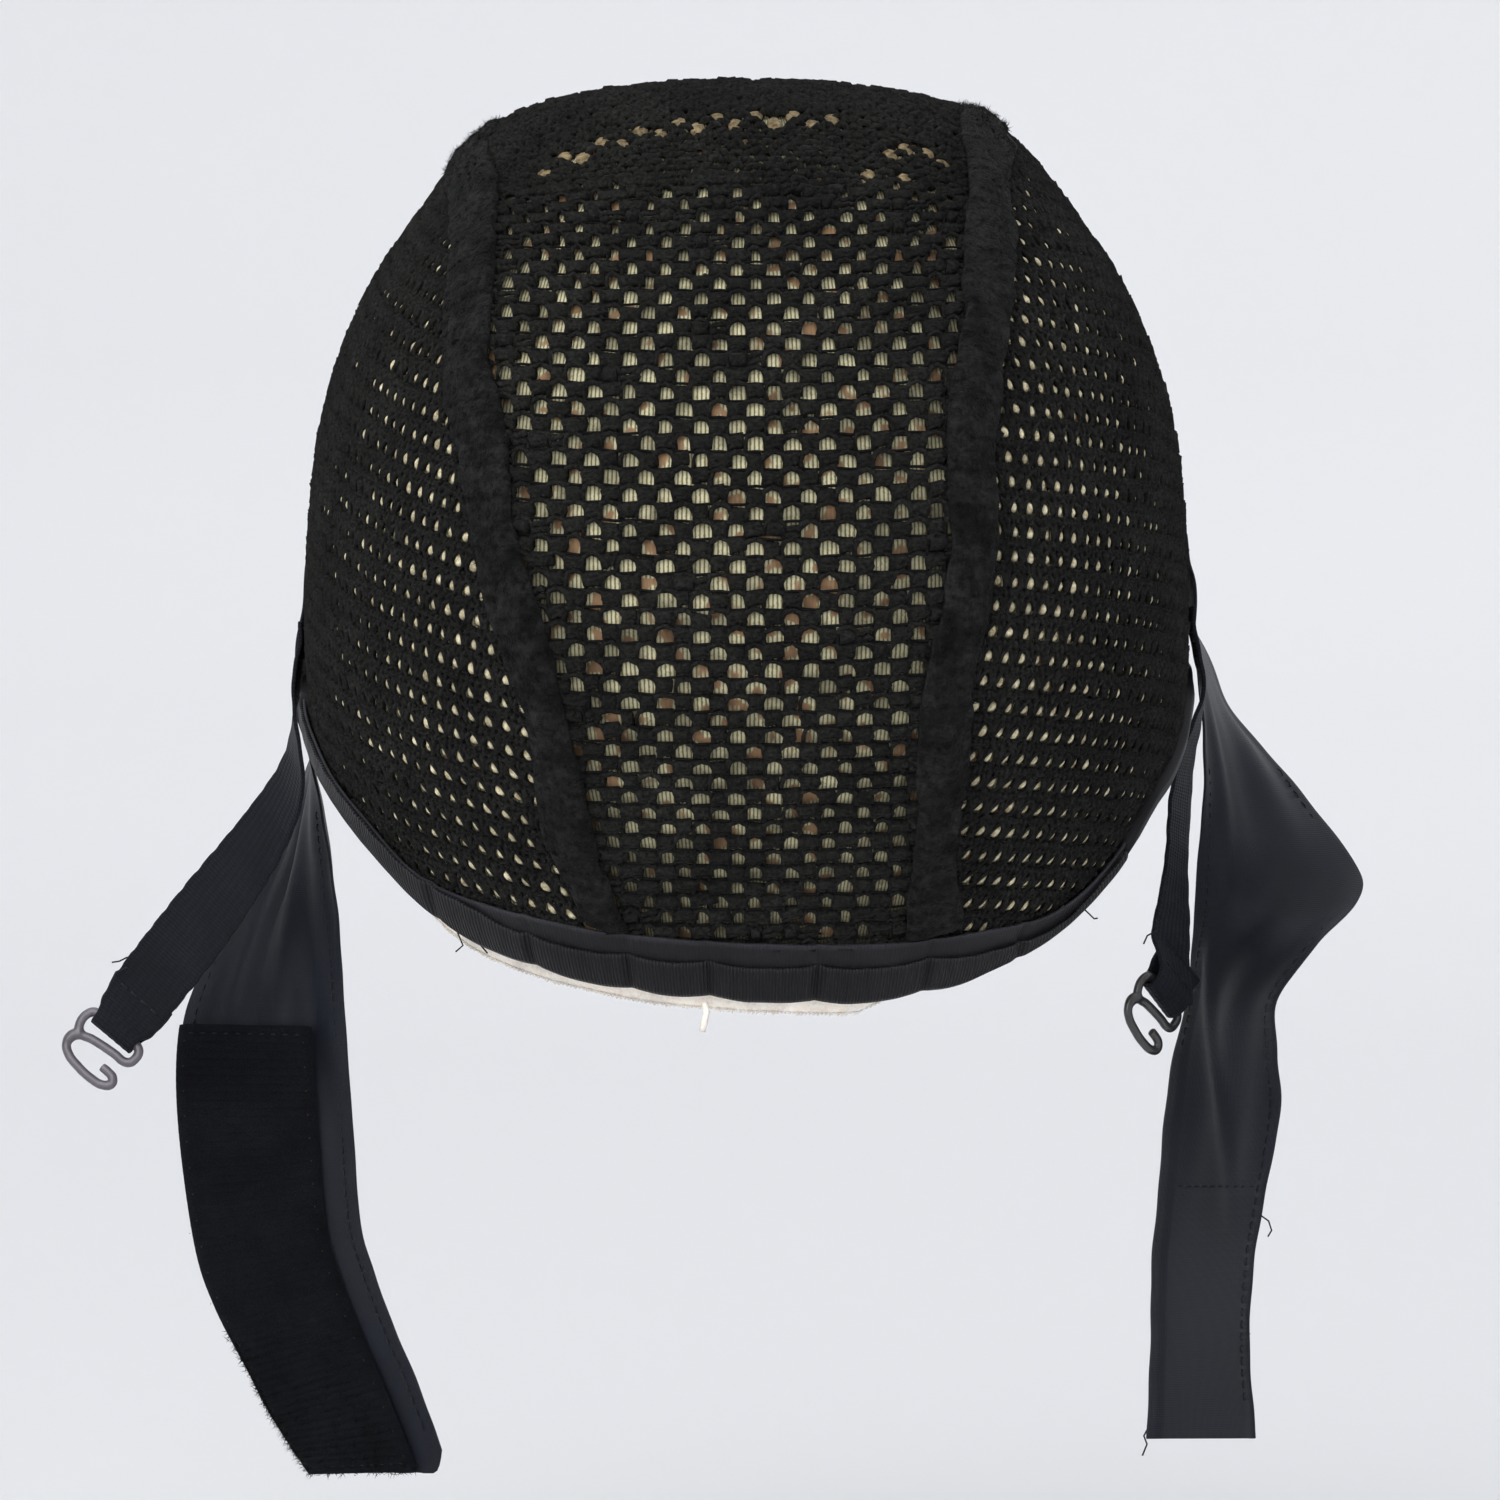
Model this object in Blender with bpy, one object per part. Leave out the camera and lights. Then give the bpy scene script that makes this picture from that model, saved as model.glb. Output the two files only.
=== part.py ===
# A wig grip cap in the form it has when it is worn. A coarse knitted net in three panels
# lies over a close cream liner. Fuzzy tapes cover the two seams, a folded satin band binds
# the nape, and a narrow elastic strap and a wide satin strap hang from each side.
# The wearer looks along +Y, so the back of the cap faces -Y. Left and right are the sides
# that somebody behind the wearer sees: left is -X. +Z is up.
# The origin is the inside top of the liner, where the cap sits on a head.
# Lengths in the tables are millimetres. A "drop" is a depth below the top of the net.
# "around" is an angle about the vertical, 0 at the back and 180 at the front.
import math
from collections import namedtuple

import bmesh
import bpy
import numpy as np
from mathutils import Vector

MM = 0.001

# Cloth thicknesses, and the air left between pieces
NET_WALL = 1.5
LINER_WALL = 1.0
LINER_GAP = 1.5
TRIM_GAP = 0.5
SEAM_GAP = 0.4
CROWN_HEIGHT = NET_WALL + LINER_GAP + LINER_WALL

# The net's outer form: level sections from the crown down
SQUARENESS = 2.2
CENTRE_DROP = 95.0
Section = namedtuple("Section", "drop half_width back front")
CAP_SECTIONS = (
    Section(0.0, 0.0, 0.0, 0.0),
    Section(1.1, 20.0, 19.0, 23.0),
    Section(3.4, 34.5, 32.5, 39.0),
    Section(6.4, 44.0, 43.5, 51.0),
    Section(10.2, 50.2, 52.5, 59.5),
    Section(15.4, 55.3, 61.0, 67.0),
    Section(22.7, 60.8, 70.5, 75.0),
    Section(37.0, 70.5, 82.5, 85.0),
    Section(52.0, 77.2, 91.0, 92.0),
    Section(68.0, 81.3, 96.0, 96.0),
    Section(90.0, 83.3, 98.5, 98.0),
    Section(110.0, 83.3, 97.0, 98.0),
    Section(125.0, 82.0, 92.0, 97.0),
    Section(140.0, 78.8, 84.0, 95.0),
    Section(155.0, 74.5, 75.0, 92.0),
    Section(172.0, 69.0, 66.0, 88.0),
    Section(185.0, 66.0, 62.0, 86.0),
)

# The rim: how far below the crown the satin edge lies, and how deep the satin is there
Rim = namedtuple("Rim", "around drop_left drop_right satin_left satin_right")
RIM = (
    Rim(0, 171.0, 171.0, 10.3, 10.3),
    Rim(20, 168.5, 171.0, 10.0, 10.3),
    Rim(35, 163.5, 167.0, 9.0, 8.5),
    Rim(48, 155.5, 158.6, 7.0, 4.2),
    Rim(56, 146.0, 149.5, 6.4, 3.6),
    Rim(63, 138.5, 138.5, 6.0, 3.2),
    Rim(72, 130.0, 130.0, 5.6, 3.0),
    Rim(82, 122.0, 120.5, 5.4, 3.4),
    Rim(92, 118.0, 115.0, 6.0, 4.5),
    Rim(105, 117.0, 114.0, 7.0, 6.5),
    Rim(118, 110.0, 109.0, 8.0, 8.0),
    Rim(130, 96.0, 96.0, 8.0, 8.0),
    Rim(145, 78.0, 78.0, 8.0, 8.0),
    Rim(163, 66.0, 66.0, 8.0, 8.0),
    Rim(180, 63.0, 63.0, 8.0, 8.0),
)
EAR_BACK = 72.0
EAR_FRONT = 118.0
BAND_LEFT_END = -82.0
BAND_RIGHT_END = 58.0
BAND_PARTING = 0.4
SATIN_WALL = 1.1
NET_ABOVE_RIM = 1.0

# The two seams: how far they lie from the middle plane, by the turn about the X axis
# (0 level at the back, 90 at the crown, 180 level at the front)
Seam = namedtuple("Seam", "turn left right")
SEAMS = (
    Seam(-60, -20.0, 33.0),
    Seam(-43, -24.0, 33.3),
    Seam(-33, -30.5, 33.5),
    Seam(-20, -34.0, 34.5),
    Seam(-5, -40.5, 37.5),
    Seam(7, -45.0, 40.0),
    Seam(19, -47.7, 39.5),
    Seam(33, -50.0, 43.0),
    Seam(48, -48.5, 43.5),
    Seam(66, -51.5, 44.0),
    Seam(90, -50.0, 44.0),
    Seam(115, -48.0, 44.0),
    Seam(140, -46.0, 44.0),
    Seam(180, -45.0, 45.0),
)
TAPE_HALF_WIDTH = 4.2
TAPE_HALF_TOP = 2.2
TAPE_HALF_SEAT = 2.0
TAPE_EDGE_LIFT = 1.2
TAPE_HEIGHT = 1.9
TAPE_WAVE = 0.6
TAPE_WAVE_RATES = (1.9, 2.3)
SEAM_SEARCH = (-58.0, 170.0)
SEAM_SEARCH_STEP = 0.25

# The net's gaps, made larger and fewer than the knit's own
GAP_ACROSS = 12.5
GAP_UP = 11.0
GAP_PITCH = 28.0
GAP_ROW = 15.0
GAP_MARGIN = 4.5
GAP_CUTTER_DEPTH = 10.0
CENTRE_GAP_TURNS = (-45, 165)
SIDE_GAP_DROPS = (10, 170)
SIDE_GAP_ANGLES = (20, 165)
SIDE_GAP_EASE = 1.5
SIDE_ROWS_ANGLE = 60
GAP_SHAPE = ((-0.5, -0.5), (0.5, -0.5), (0.5, 0.1), (0.22, 0.5), (-0.22, 0.5), (-0.5, 0.1))

# The liner's hem, which shows below the band from HEM_SHOWS_LEFT to HEM_SHOWS_RIGHT
HEM_WALL = 1.4
HEM_TOP = 1.9
HEM_BELOW_BAND = 1.3
HEM_HIDDEN = 0.4
HEM_STEP_OUT = 0.4
HEM_FADE = 8
LINER_HEM_GAP = 0.3
HEM_SHOWS_LEFT = -44.0
HEM_SHOWS_RIGHT = 12.0

# Straps: a row for each place along the strap, the edges' places seen from the back,
# and each edge's depth towards the front. A bow lifts the strap's middle off the straight
# line between its edges. The first rows are sewn to the cap's side.
Sewn = namedtuple("Sewn", "around_a around_b drop lift")
Edge = namedtuple("Edge", "x_a drop_a y_a x_b drop_b y_b bow", defaults=(0.0,))
WIDE_WALL = 1.0
WIDE_LEFT_SEWN = (
    Sewn(-118, -98, 91, 1.4),
    Sewn(-118, -98, 98, 1.7),
    Sewn(-118, -98, 107, 3.2),
)
WIDE_LEFT = (
    Edge(-82.0, 118.0, 39, -86.2, 118.5, 10),
    Edge(-85.5, 129.0, 39, -83.0, 129.5, 9),
    Edge(-91.5, 145.0, 38, -80.8, 145.5, 10),
    Edge(-100.5, 159.5, 35, -79.0, 159.0, 14),
    Edge(-107.5, 173.4, 28, -77.7, 172.5, 16),
    Edge(-109.9, 184.0, 24, -76.8, 183.5, 17),
    Edge(-109.6, 200.0, 23, -75.8, 199.0, 18),
    Edge(-106.6, 222.0, 24, -74.5, 217.0, 18),
    Edge(-102.8, 233.8, 25, -71.8, 226.7, 17),
    Edge(-96.6, 245.8, 26, -67.8, 237.3, 15),
    Edge(-91.4, 255.7, 27, -63.1, 248.0, 13),
    Edge(-84.1, 266.6, 27, -56.8, 265.0, 11),
)
WIDE_RIGHT_SEWN = (
    Sewn(98, 118, 85, 1.4),
    Sewn(98, 118, 90, 1.6),
    Sewn(98, 118, 95, 2.8),
)
WIDE_RIGHT = (
    Edge(85.6, 105.0, 11, 88.4, 104.5, 40),
    Edge(86.6, 116.8, 8, 94.2, 117.5, 38),
    Edge(86.8, 126.3, 8, 101.6, 126.7, 35),
    Edge(86.8, 135.9, 9, 108.9, 136.4, 31),
    Edge(86.2, 147.4, 10, 116.5, 148.7, 20),
    Edge(85.9, 156.1, 13, 116.4, 156.0, 10),
    Edge(85.5, 164.8, 17, 108.3, 163.5, -3),
    Edge(84.9, 174.5, 19, 99.9, 173.5, -9),
    Edge(82.7, 185.0, 19, 99.7, 183.9, -8),
    Edge(81.3, 196.5, 18, 100.4, 194.7, -8),
    Edge(80.0, 211.0, 18, 98.0, 209.4, -8),
    Edge(78.6, 224.4, 18, 95.7, 222.6, -9),
    Edge(78.3, 239.8, 17, 94.8, 238.7, -9),
    Edge(77.5, 259.0, 17, 96.1, 256.3, -8),
)
ELASTIC_WALL = 1.1
ELASTIC_LEFT_SEWN = (
    Sewn(-94.5, -86, 102, 1.1),
    Sewn(-94.5, -86, 106, 1.2),
    Sewn(-94.5, -86, 112, 2.5),
)
ELASTIC_LEFT = (
    Edge(-86.2, 118.5, 7, -85.6, 119.5, -5),
    Edge(-88.6, 128.0, 7, -84.0, 134.0, -5),
    Edge(-95.6, 138.4, 4, -88.2, 146.5, -4),
    Edge(-107.7, 153.0, 1, -97.6, 161.7, -3),
    Edge(-118.6, 167.0, 0, -108.4, 175.6, -3),
)
ELASTIC_RIGHT_SEWN = (
    Sewn(86, 94.5, 99, 1.1),
    Sewn(86, 94.5, 103, 1.2),
    Sewn(86, 94.5, 109, 2.5),
)
ELASTIC_RIGHT = (
    Edge(86.4, 115.0, -6, 86.9, 115.0, 6.5),
    Edge(84.2, 121.5, -6, 86.4, 121.5, 6.5),
    Edge(81.8, 128.0, -5, 85.2, 128.5, 7.5),
    Edge(80.1, 135.5, -5, 84.6, 137.0, 7.5),
    Edge(79.4, 146.0, -5, 84.0, 148.5, 7),
    Edge(77.9, 154.5, -6, 84.2, 159.5, 4.5),
    Edge(76.6, 161.0, -7, 84.0, 167.0, 1.5),
)

# Loop ends of the elastics: the fold's middle and the ways across it and out of it
Loop = namedtuple("Loop", "x drop y across_x across_up across_y out_x out_up out_y")
LOOP_LEFT = Loop(-119.6, 179.4, -1.5, 0.77, -0.63, -0.12, -0.63, -0.77, -0.05)
LOOP_RIGHT = Loop(78.8, 172.6, -5.0, 0.52, -0.67, 0.53, -0.46, -0.67, -0.41)

# The fold round the hook's bar, which draws the elastic in a little
Fold = namedtuple("Fold", "along off half_width")
LOOP_FOLDS = (
    Fold(-3.6, 0.95, 6.2),
    Fold(-1.5, 1.55, 5.2),
    Fold(0.0, 1.65, 4.9),
    Fold(1.17, 1.17, 4.8),
    Fold(1.65, 0.0, 4.8),
    Fold(1.17, -1.17, 4.8),
    Fold(0.0, -1.65, 4.9),
    Fold(-1.5, -1.5, 5.2),
    Fold(-3.6, -1.0, 6.1),
    Fold(-9.0, -0.75, 6.4),
)

# The G-shaped hook in the plane of the fold: along the fold, and out from its middle.
# The ring's straight side lies inside the loop. The curl starts at the ring's thick neck.
HOOK_WIRE = 0.75
HOOK_NECK = 1.05
HOOK_FLATNESS = 0.85
HOOK_SIDES = 6
Bend = namedtuple("Bend", "along out")
HOOK_RING = (
    Bend(-5.2, 0.0),
    Bend(5.2, 0.0),
    Bend(6.1, 0.7),
    Bend(6.3, 2.0),
    Bend(6.0, 3.2),
    Bend(4.9, 3.8),
    Bend(3.0, 3.8),
    Bend(0.5, 4.0),
    Bend(-2.5, 4.4),
    Bend(-5.0, 4.9),
    Bend(-6.2, 3.6),
    Bend(-6.1, 0.9),
)
HOOK_CURL = (
    Bend(-4.9, 4.9),
    Bend(-5.9, 6.4),
    Bend(-5.7, 8.1),
    Bend(-4.3, 9.3),
    Bend(-1.5, 10.0),
    Bend(2.2, 10.2),
    Bend(4.8, 9.7),
    Bend(5.9, 8.6),
    Bend(5.3, 7.5),
    Bend(3.9, 7.2),
    Bend(2.3, 7.2),
)

# Hook-and-loop patches: where on the strap they lie, as shares of its length and width
Patch = namedtuple("Patch", "start end from_a to_b side")
PATCH_LEFT = Patch(0.50, 0.985, 0.03, 0.80, 1)
PATCH_RIGHT = Patch(0.735, 0.985, 0.08, 0.92, -1)
PATCH_WALL = 1.6
PATCH_GAP = 0.35

# How finely each piece is divided
LEVEL_COUNT = 481
PANEL_ROWS = 21
CENTRE_CELLS = (7, PANEL_ROWS)
SIDE_CELLS = (6, PANEL_ROWS)
LINER_CELLS = (32, 8)
TAPE_STEPS = 25
BAND_STEPS = 28
BINDING_STEPS = 40
STRAP_STEPS = 30
ELASTIC_STEPS = 14
FOLD_STEPS = 14
FOLD_SHARE = 0.74


def smooth_table(places, rows):
    """A smooth curve through a table's rows, with each row's slope taken from its neighbours."""
    places = np.array(places, float)
    rows = np.array(rows, float)
    slopes = np.gradient(rows, places, axis=0)

    def at(place):
        place = min(max(place, places[0]), places[-1])
        low = min(int(np.searchsorted(places, place, side="right")) - 1, len(places) - 2)
        span = places[low + 1] - places[low]
        t = (place - places[low]) / span
        from_low = 1 - t * t * (3 - 2 * t)
        lean_low = t * (1 - t) ** 2 * span
        lean_high = -t * t * (1 - t) * span
        steady = rows[low] * from_low + rows[low + 1] * (1 - from_low)
        return steady + slopes[low] * lean_low + slopes[low + 1] * lean_high

    return at


# Fine level sections, read from the short table
section_at = smooth_table(range(len(CAP_SECTIONS)), CAP_SECTIONS)
LEVELS = np.array([section_at(step) for step in np.linspace(0, len(CAP_SECTIONS) - 1, LEVEL_COUNT)])
LEVELS = np.maximum(LEVELS, 1e-6)
CENTRE = Vector((0, 0, CROWN_HEIGHT - CENTRE_DROP))

rim_table = smooth_table([row.around for row in RIM], [row[1:] for row in RIM])
seam_table = smooth_table([row.turn for row in SEAMS], [row[1:] for row in SEAMS])


def rim_drop(around):
    return rim_table(abs(around))[1 if around > 0 else 0]


def satin_depth(around):
    return rim_table(abs(around))[3 if around > 0 else 2]


def reach(around):
    """How far the net reaches from the vertical axis at every level, in one direction."""
    sideways = abs(math.sin(math.radians(around)))
    lengthways = math.cos(math.radians(around))
    depth = LEVELS[:, 2] if lengthways > 0 else LEVELS[:, 3]
    power = (sideways / LEVELS[:, 1]) ** SQUARENESS + (abs(lengthways) / depth) ** SQUARENESS
    return power ** (-1 / SQUARENESS)


def net_point(direction):
    """Where a ray from the cap's centre meets the net's outer face."""
    around = math.degrees(math.atan2(direction.x, -direction.y))
    out = reach(around)
    rise = np.arctan2(CENTRE_DROP - LEVELS[:, 0], out)
    wanted = math.atan2(direction.z, math.hypot(direction.x, direction.y))
    radius = np.interp(wanted, rise[::-1], out[::-1])
    drop = np.interp(wanted, rise[::-1], LEVELS[::-1, 0])
    turned = math.radians(around)
    return Vector((radius * math.sin(turned), -radius * math.cos(turned), CROWN_HEIGHT - drop))


def net_normal(direction):
    direction = direction.normalized()
    side = direction.orthogonal().normalized() * 0.01
    other = direction.cross(side)
    first = net_point(direction + side) - net_point(direction - side)
    second = net_point(direction + other) - net_point(direction - other)
    normal = first.cross(second).normalized()
    return normal if normal.dot(direction) > 0 else -normal


def on_net(point, lift=0.0):
    """The nearest way out from the cap's centre through a point, stopped at a lift from the net."""
    direction = point - CENTRE
    return net_point(direction) + net_normal(direction) * lift


def at_drop(around, drop, lift=0.0):
    """A point on the net's face at an angle around and a drop, moved out by a lift."""
    out = float(np.interp(drop, LEVELS[:, 0], reach(around)))
    turned = math.radians(around)
    point = Vector((out * math.sin(turned), -out * math.cos(turned), CROWN_HEIGHT - drop))
    return point + net_normal(point - CENTRE) * lift


def at_turn(across, turn, lift=0.0):
    """A point on the net's face at a distance from the middle plane and a turn about X."""
    radius = CENTRE_DROP
    for _ in range(24):
        back = radius * math.cos(math.radians(turn))
        up = radius * math.sin(math.radians(turn))
        flat = Vector((across, -back, up))
        radius *= (net_point(flat) - CENTRE).length / flat.length
    return on_net(CENTRE + flat, lift)


def around_of(point):
    return math.degrees(math.atan2(point.x, -point.y))


def drop_of(point):
    return CROWN_HEIGHT - point.z


def seam_across(side, turn):
    return seam_table(turn)[1 if side > 0 else 0]


def seam_turn_where(side, front, edge, spread=0.0):
    """The turn at which a seam, or a strip as wide to each side as spread, clears an edge.

    The edge is a function that gives the edge's drop at an angle around.
    """
    turn = SEAM_SEARCH[1] if front else SEAM_SEARCH[0]
    step = -SEAM_SEARCH_STEP if front else SEAM_SEARCH_STEP
    clear = False
    while not clear:
        turn += step
        places = [at_turn(seam_across(side, turn) + shift, turn) for shift in (-spread, 0, spread)]
        clear = all(drop_of(place) <= edge(around_of(place)) for place in places)
    return turn


def net_edge(around):
    return rim_drop(around) - NET_ABOVE_RIM


def satin_top(around):
    return rim_drop(around) - satin_depth(around)


def new_object(name, vertices, faces, material):
    """A closed mesh from points in millimetres, with its faces turned outwards."""
    shape = bmesh.new()
    made = [shape.verts.new(Vector(point) * MM) for point in vertices]
    for face in faces:
        shape.faces.new([made[index] for index in face])
    bmesh.ops.recalc_face_normals(shape, faces=shape.faces)
    if shape.calc_volume(signed=True) < 0:
        bmesh.ops.reverse_faces(shape, faces=shape.faces)
    mesh = bpy.data.meshes.new(name)
    shape.to_mesh(mesh)
    shape.free()
    mesh.materials.append(material)
    mesh.shade_smooth()
    mesh.set_sharp_from_angle(angle=math.radians(40))
    built = bpy.data.objects.new(name, mesh)
    bpy.context.collection.objects.link(built)
    return built


def slab(name, outer, inner, material):
    """A cloth wall between two grids of points with the same rows and columns."""
    rows = len(outer)
    columns = len(outer[0])
    vertices = [point for grid in (outer, inner) for row in grid for point in row]
    back = rows * columns
    faces = []
    for row in range(rows - 1):
        for column in range(columns - 1):
            corner = row * columns + column
            above = corner + columns
            faces.append((corner, corner + 1, above + 1, above))
            faces.append((back + corner, back + above, back + above + 1, back + corner + 1))
    border = list(range(columns))
    border += [row * columns + columns - 1 for row in range(1, rows)]
    border += [(rows - 1) * columns + column for column in range(columns - 2, -1, -1)]
    border += [row * columns for row in range(rows - 2, 0, -1)]
    for place, start in enumerate(border):
        end = border[(place + 1) % len(border)]
        faces.append((start, end, back + end, back + start))
    return new_object(name, vertices, faces, material)


def tube(name, loops, material, closed=False):
    """Loops of points joined in order, with flat ends or joined into a ring."""
    sides = len(loops[0])
    vertices = [point for loop in loops for point in loop]
    faces = []
    spans = len(loops) if closed else len(loops) - 1
    for span in range(spans):
        first = span * sides
        second = (span + 1) % len(loops) * sides
        for side in range(sides):
            beside = (side + 1) % sides
            faces.append((first + side, first + beside, second + beside, second + side))
    if not closed:
        faces.append(tuple(range(sides)))
        faces.append(tuple(range(len(vertices) - sides, len(vertices))))
    return new_object(name, vertices, faces, material)


def cloth(name, colour, roughness, metallic=0.0):
    material = bpy.data.materials.new(name)
    material.use_nodes = True
    shader = material.node_tree.nodes["Principled BSDF"]
    shader.inputs["Base Color"].default_value = (*colour, 1)
    shader.inputs["Roughness"].default_value = roughness
    shader.inputs["Metallic"].default_value = metallic
    material.diffuse_color = (*colour, 1)
    return material


def evenly(start, end, count):
    return [start + (end - start) * step / count for step in range(count + 1)]


ELASTIC_SHARES = evenly(0, FOLD_SHARE, ELASTIC_STEPS)[:-1] + evenly(FOLD_SHARE, 1, FOLD_STEPS)


def patch_grid(left, right, bottom, top, cells):
    """A four-sided patch of the net between its edge curves, each run from 0 to 1."""
    columns, rows = cells
    grid = []
    for v in evenly(0, 1, rows):
        row = []
        for u in evenly(0, 1, columns):
            along = left(v) * (1 - u) + right(v) * u
            across = bottom(u) * (1 - v) + top(u) * v
            low = left(0) * (1 - u) + right(0) * u
            high = left(1) * (1 - u) + right(1) * u
            row.append(along + across - low * (1 - v) - high * v)
        grid.append(row)
    return grid


def rim_run(start, end):
    """The net's lower edge between two angles."""

    def at(share):
        around = start + (end - start) * share
        return at_drop(around, net_edge(around))

    return at


def seam_run(side, shift):
    """The net's edge along a seam, kept a little to one side of the seam's line."""
    low = seam_turn_where(side, False, net_edge)
    high = seam_turn_where(side, True, net_edge)

    def at(share):
        turn = low + (high - low) * share
        return at_turn(seam_across(side, turn) + shift, turn)

    return at


def front_run():
    """The middle panel's front edge, which passes the front of the head from left to right."""
    left = around_of(seam_run(-1, SEAM_GAP / 2)(1))
    right = around_of(seam_run(1, -SEAM_GAP / 2)(1))
    span = 360 + left - right

    def at(share):
        around = left - share * span
        if around < -180:
            around += 360
        return at_drop(around, net_edge(around))

    return at


def gap_cutter(name, places):
    """One guide object with a loaf-shaped prism through the net at each place."""
    shape = bmesh.new()
    for point, up in places:
        normal = net_normal(point - CENTRE)
        up = (up - normal * up.dot(normal)).normalized()
        side = up.cross(normal)
        ends = []
        for depth in (-GAP_CUTTER_DEPTH / 2, GAP_CUTTER_DEPTH / 2):
            corners = [
                point + side * (GAP_ACROSS * across) + up * (GAP_UP * rise) + normal * depth
                for across, rise in GAP_SHAPE
            ]
            ends.append([shape.verts.new(corner * MM) for corner in corners])
        shape.faces.new(ends[0])
        shape.faces.new(ends[1])
        for corner in range(len(GAP_SHAPE)):
            beside = (corner + 1) % len(GAP_SHAPE)
            shape.faces.new((ends[0][corner], ends[0][beside], ends[1][beside], ends[1][corner]))
    bmesh.ops.recalc_face_normals(shape, faces=shape.faces)
    mesh = bpy.data.meshes.new(name)
    shape.to_mesh(mesh)
    shape.free()
    cutter = bpy.data.objects.new(name, mesh)
    bpy.context.collection.objects.link(cutter)
    cutter.hide_render = True
    cutter.display_type = "WIRE"
    return cutter


def net_panel(name, grid, places, material):
    outer = [[on_net(point) for point in row] for row in grid]
    inner = [[on_net(point, -NET_WALL) for point in row] for row in grid]
    panel = slab(name, outer, inner, material)
    cut = panel.modifiers.new("gaps", "BOOLEAN")
    cut.operation = "DIFFERENCE"
    cut.solver = "EXACT"
    cut.object = gap_cutter(name + "_gaps", places)
    print(name, "has", len(places), "gaps")
    return panel


def centre_gaps():
    """Brick rows of gaps across the middle panel, evenly spaced up the back and over the crown."""
    turns = np.linspace(*CENTRE_GAP_TURNS, 211)
    middles = [at_turn(sum(seam_table(turn)) / 2, turn) for turn in turns]
    run = np.cumsum([0.0] + [(b - a).length for a, b in zip(middles, middles[1:])])
    places = []
    row = 0
    while row * GAP_ROW < run[-1]:
        turn = float(np.interp(row * GAP_ROW, run, turns))
        left, right = seam_table(turn)
        room = (right - left) / 2 - TAPE_HALF_WIDTH - GAP_MARGIN - GAP_ACROSS / 2
        for step in range(-3, 4):
            offset = (step + 0.5 * (row % 2)) * GAP_PITCH
            point = at_turn((left + right) / 2 + offset, turn)
            edge = satin_top(around_of(point)) - GAP_MARGIN - GAP_UP / 2
            if abs(offset) <= room and drop_of(point) < edge:
                normal = net_normal(point - CENTRE)
                places.append((point, normal.cross(Vector((1, 0, 0)))))
        row += 1
    return places


def side_gaps(side):
    """Level rows of gaps on one side, kept clear of the seam and of the satin edge."""
    levels = np.linspace(*SIDE_GAP_DROPS, 161)
    walls = [at_drop(side * SIDE_ROWS_ANGLE, level) for level in levels]
    run = np.cumsum([0.0] + [(b - a).length for a, b in zip(walls, walls[1:])])
    places = []
    row = 0
    while row * GAP_ROW < run[-1]:
        drop = float(np.interp(row * GAP_ROW, run, levels))
        girth = np.interp(drop, LEVELS[:, 0], (LEVELS[:, 1] + LEVELS[:, 2]) / 2)
        pitch = math.degrees(GAP_PITCH / girth)
        around = SIDE_GAP_ANGLES[0] + pitch * 0.5 * (row % 2)
        while around < SIDE_GAP_ANGLES[1]:
            point = at_drop(side * around, drop)
            turn = math.degrees(math.atan2(point.z - CENTRE.z, -point.y))
            seam = abs(seam_across(side, turn))
            nearest = TAPE_HALF_WIDTH + GAP_MARGIN + GAP_ACROSS / 2 - SIDE_GAP_EASE
            clear_of_seam = abs(point.x) - seam > nearest
            clear_of_rim = drop < satin_top(side * around) - GAP_MARGIN - GAP_UP / 2
            if clear_of_seam and clear_of_rim:
                places.append((point, Vector((0, 0, 1))))
            around += pitch
        row += 1
    return places


def net_panels(material):
    half_gap = SEAM_GAP / 2
    centre = patch_grid(
        seam_run(-1, half_gap),
        seam_run(1, -half_gap),
        rim_run(around_of(seam_run(-1, half_gap)(0)), around_of(seam_run(1, -half_gap)(0))),
        front_run(),
        CENTRE_CELLS,
    )
    net_panel("centre_panel", centre, centre_gaps(), material)
    for side, name in ((-1, "side_panel_left"), (1, "side_panel_right")):
        seam = seam_run(side, side * half_gap)
        panel = patch_grid(
            seam,
            rim_run(side * EAR_BACK, side * EAR_FRONT),
            rim_run(around_of(seam(0)), side * EAR_BACK),
            rim_run(around_of(seam(1)), side * EAR_FRONT),
            SIDE_CELLS,
        )
        net_panel(name, panel, side_gaps(side), material)


def seam_tape(name, side, material):
    """A lumpy tape along a seam, from the nape band over the crown to the front binding."""
    widest = TAPE_HALF_WIDTH + TAPE_WAVE
    low = seam_turn_where(side, False, lambda around: satin_top(around) - SEAM_GAP, widest)
    high = seam_turn_where(side, True, lambda around: satin_top(around) - SEAM_GAP, widest)
    loops = []
    for step, turn in enumerate(evenly(low, high, TAPE_STEPS)):
        middle = seam_across(side, turn)
        wave_a = TAPE_WAVE * math.sin(step * TAPE_WAVE_RATES[0] + side)
        wave_b = TAPE_WAVE * math.sin(step * TAPE_WAVE_RATES[1] + 2 * side)
        a = middle - TAPE_HALF_WIDTH - wave_a
        b = middle + TAPE_HALF_WIDTH + wave_b
        top = TRIM_GAP + TAPE_HEIGHT
        outline = (
            (a, TRIM_GAP),
            (a, TAPE_EDGE_LIFT),
            (middle - TAPE_HALF_TOP, top),
            (middle + TAPE_HALF_TOP, top),
            (b, TAPE_EDGE_LIFT),
            (b, TRIM_GAP),
            (middle + TAPE_HALF_SEAT, TRIM_GAP),
            (middle - TAPE_HALF_SEAT, TRIM_GAP),
        )
        loops.append([at_turn(across, turn, lift) for across, lift in outline])
    return tube(name, loops, material)


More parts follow.
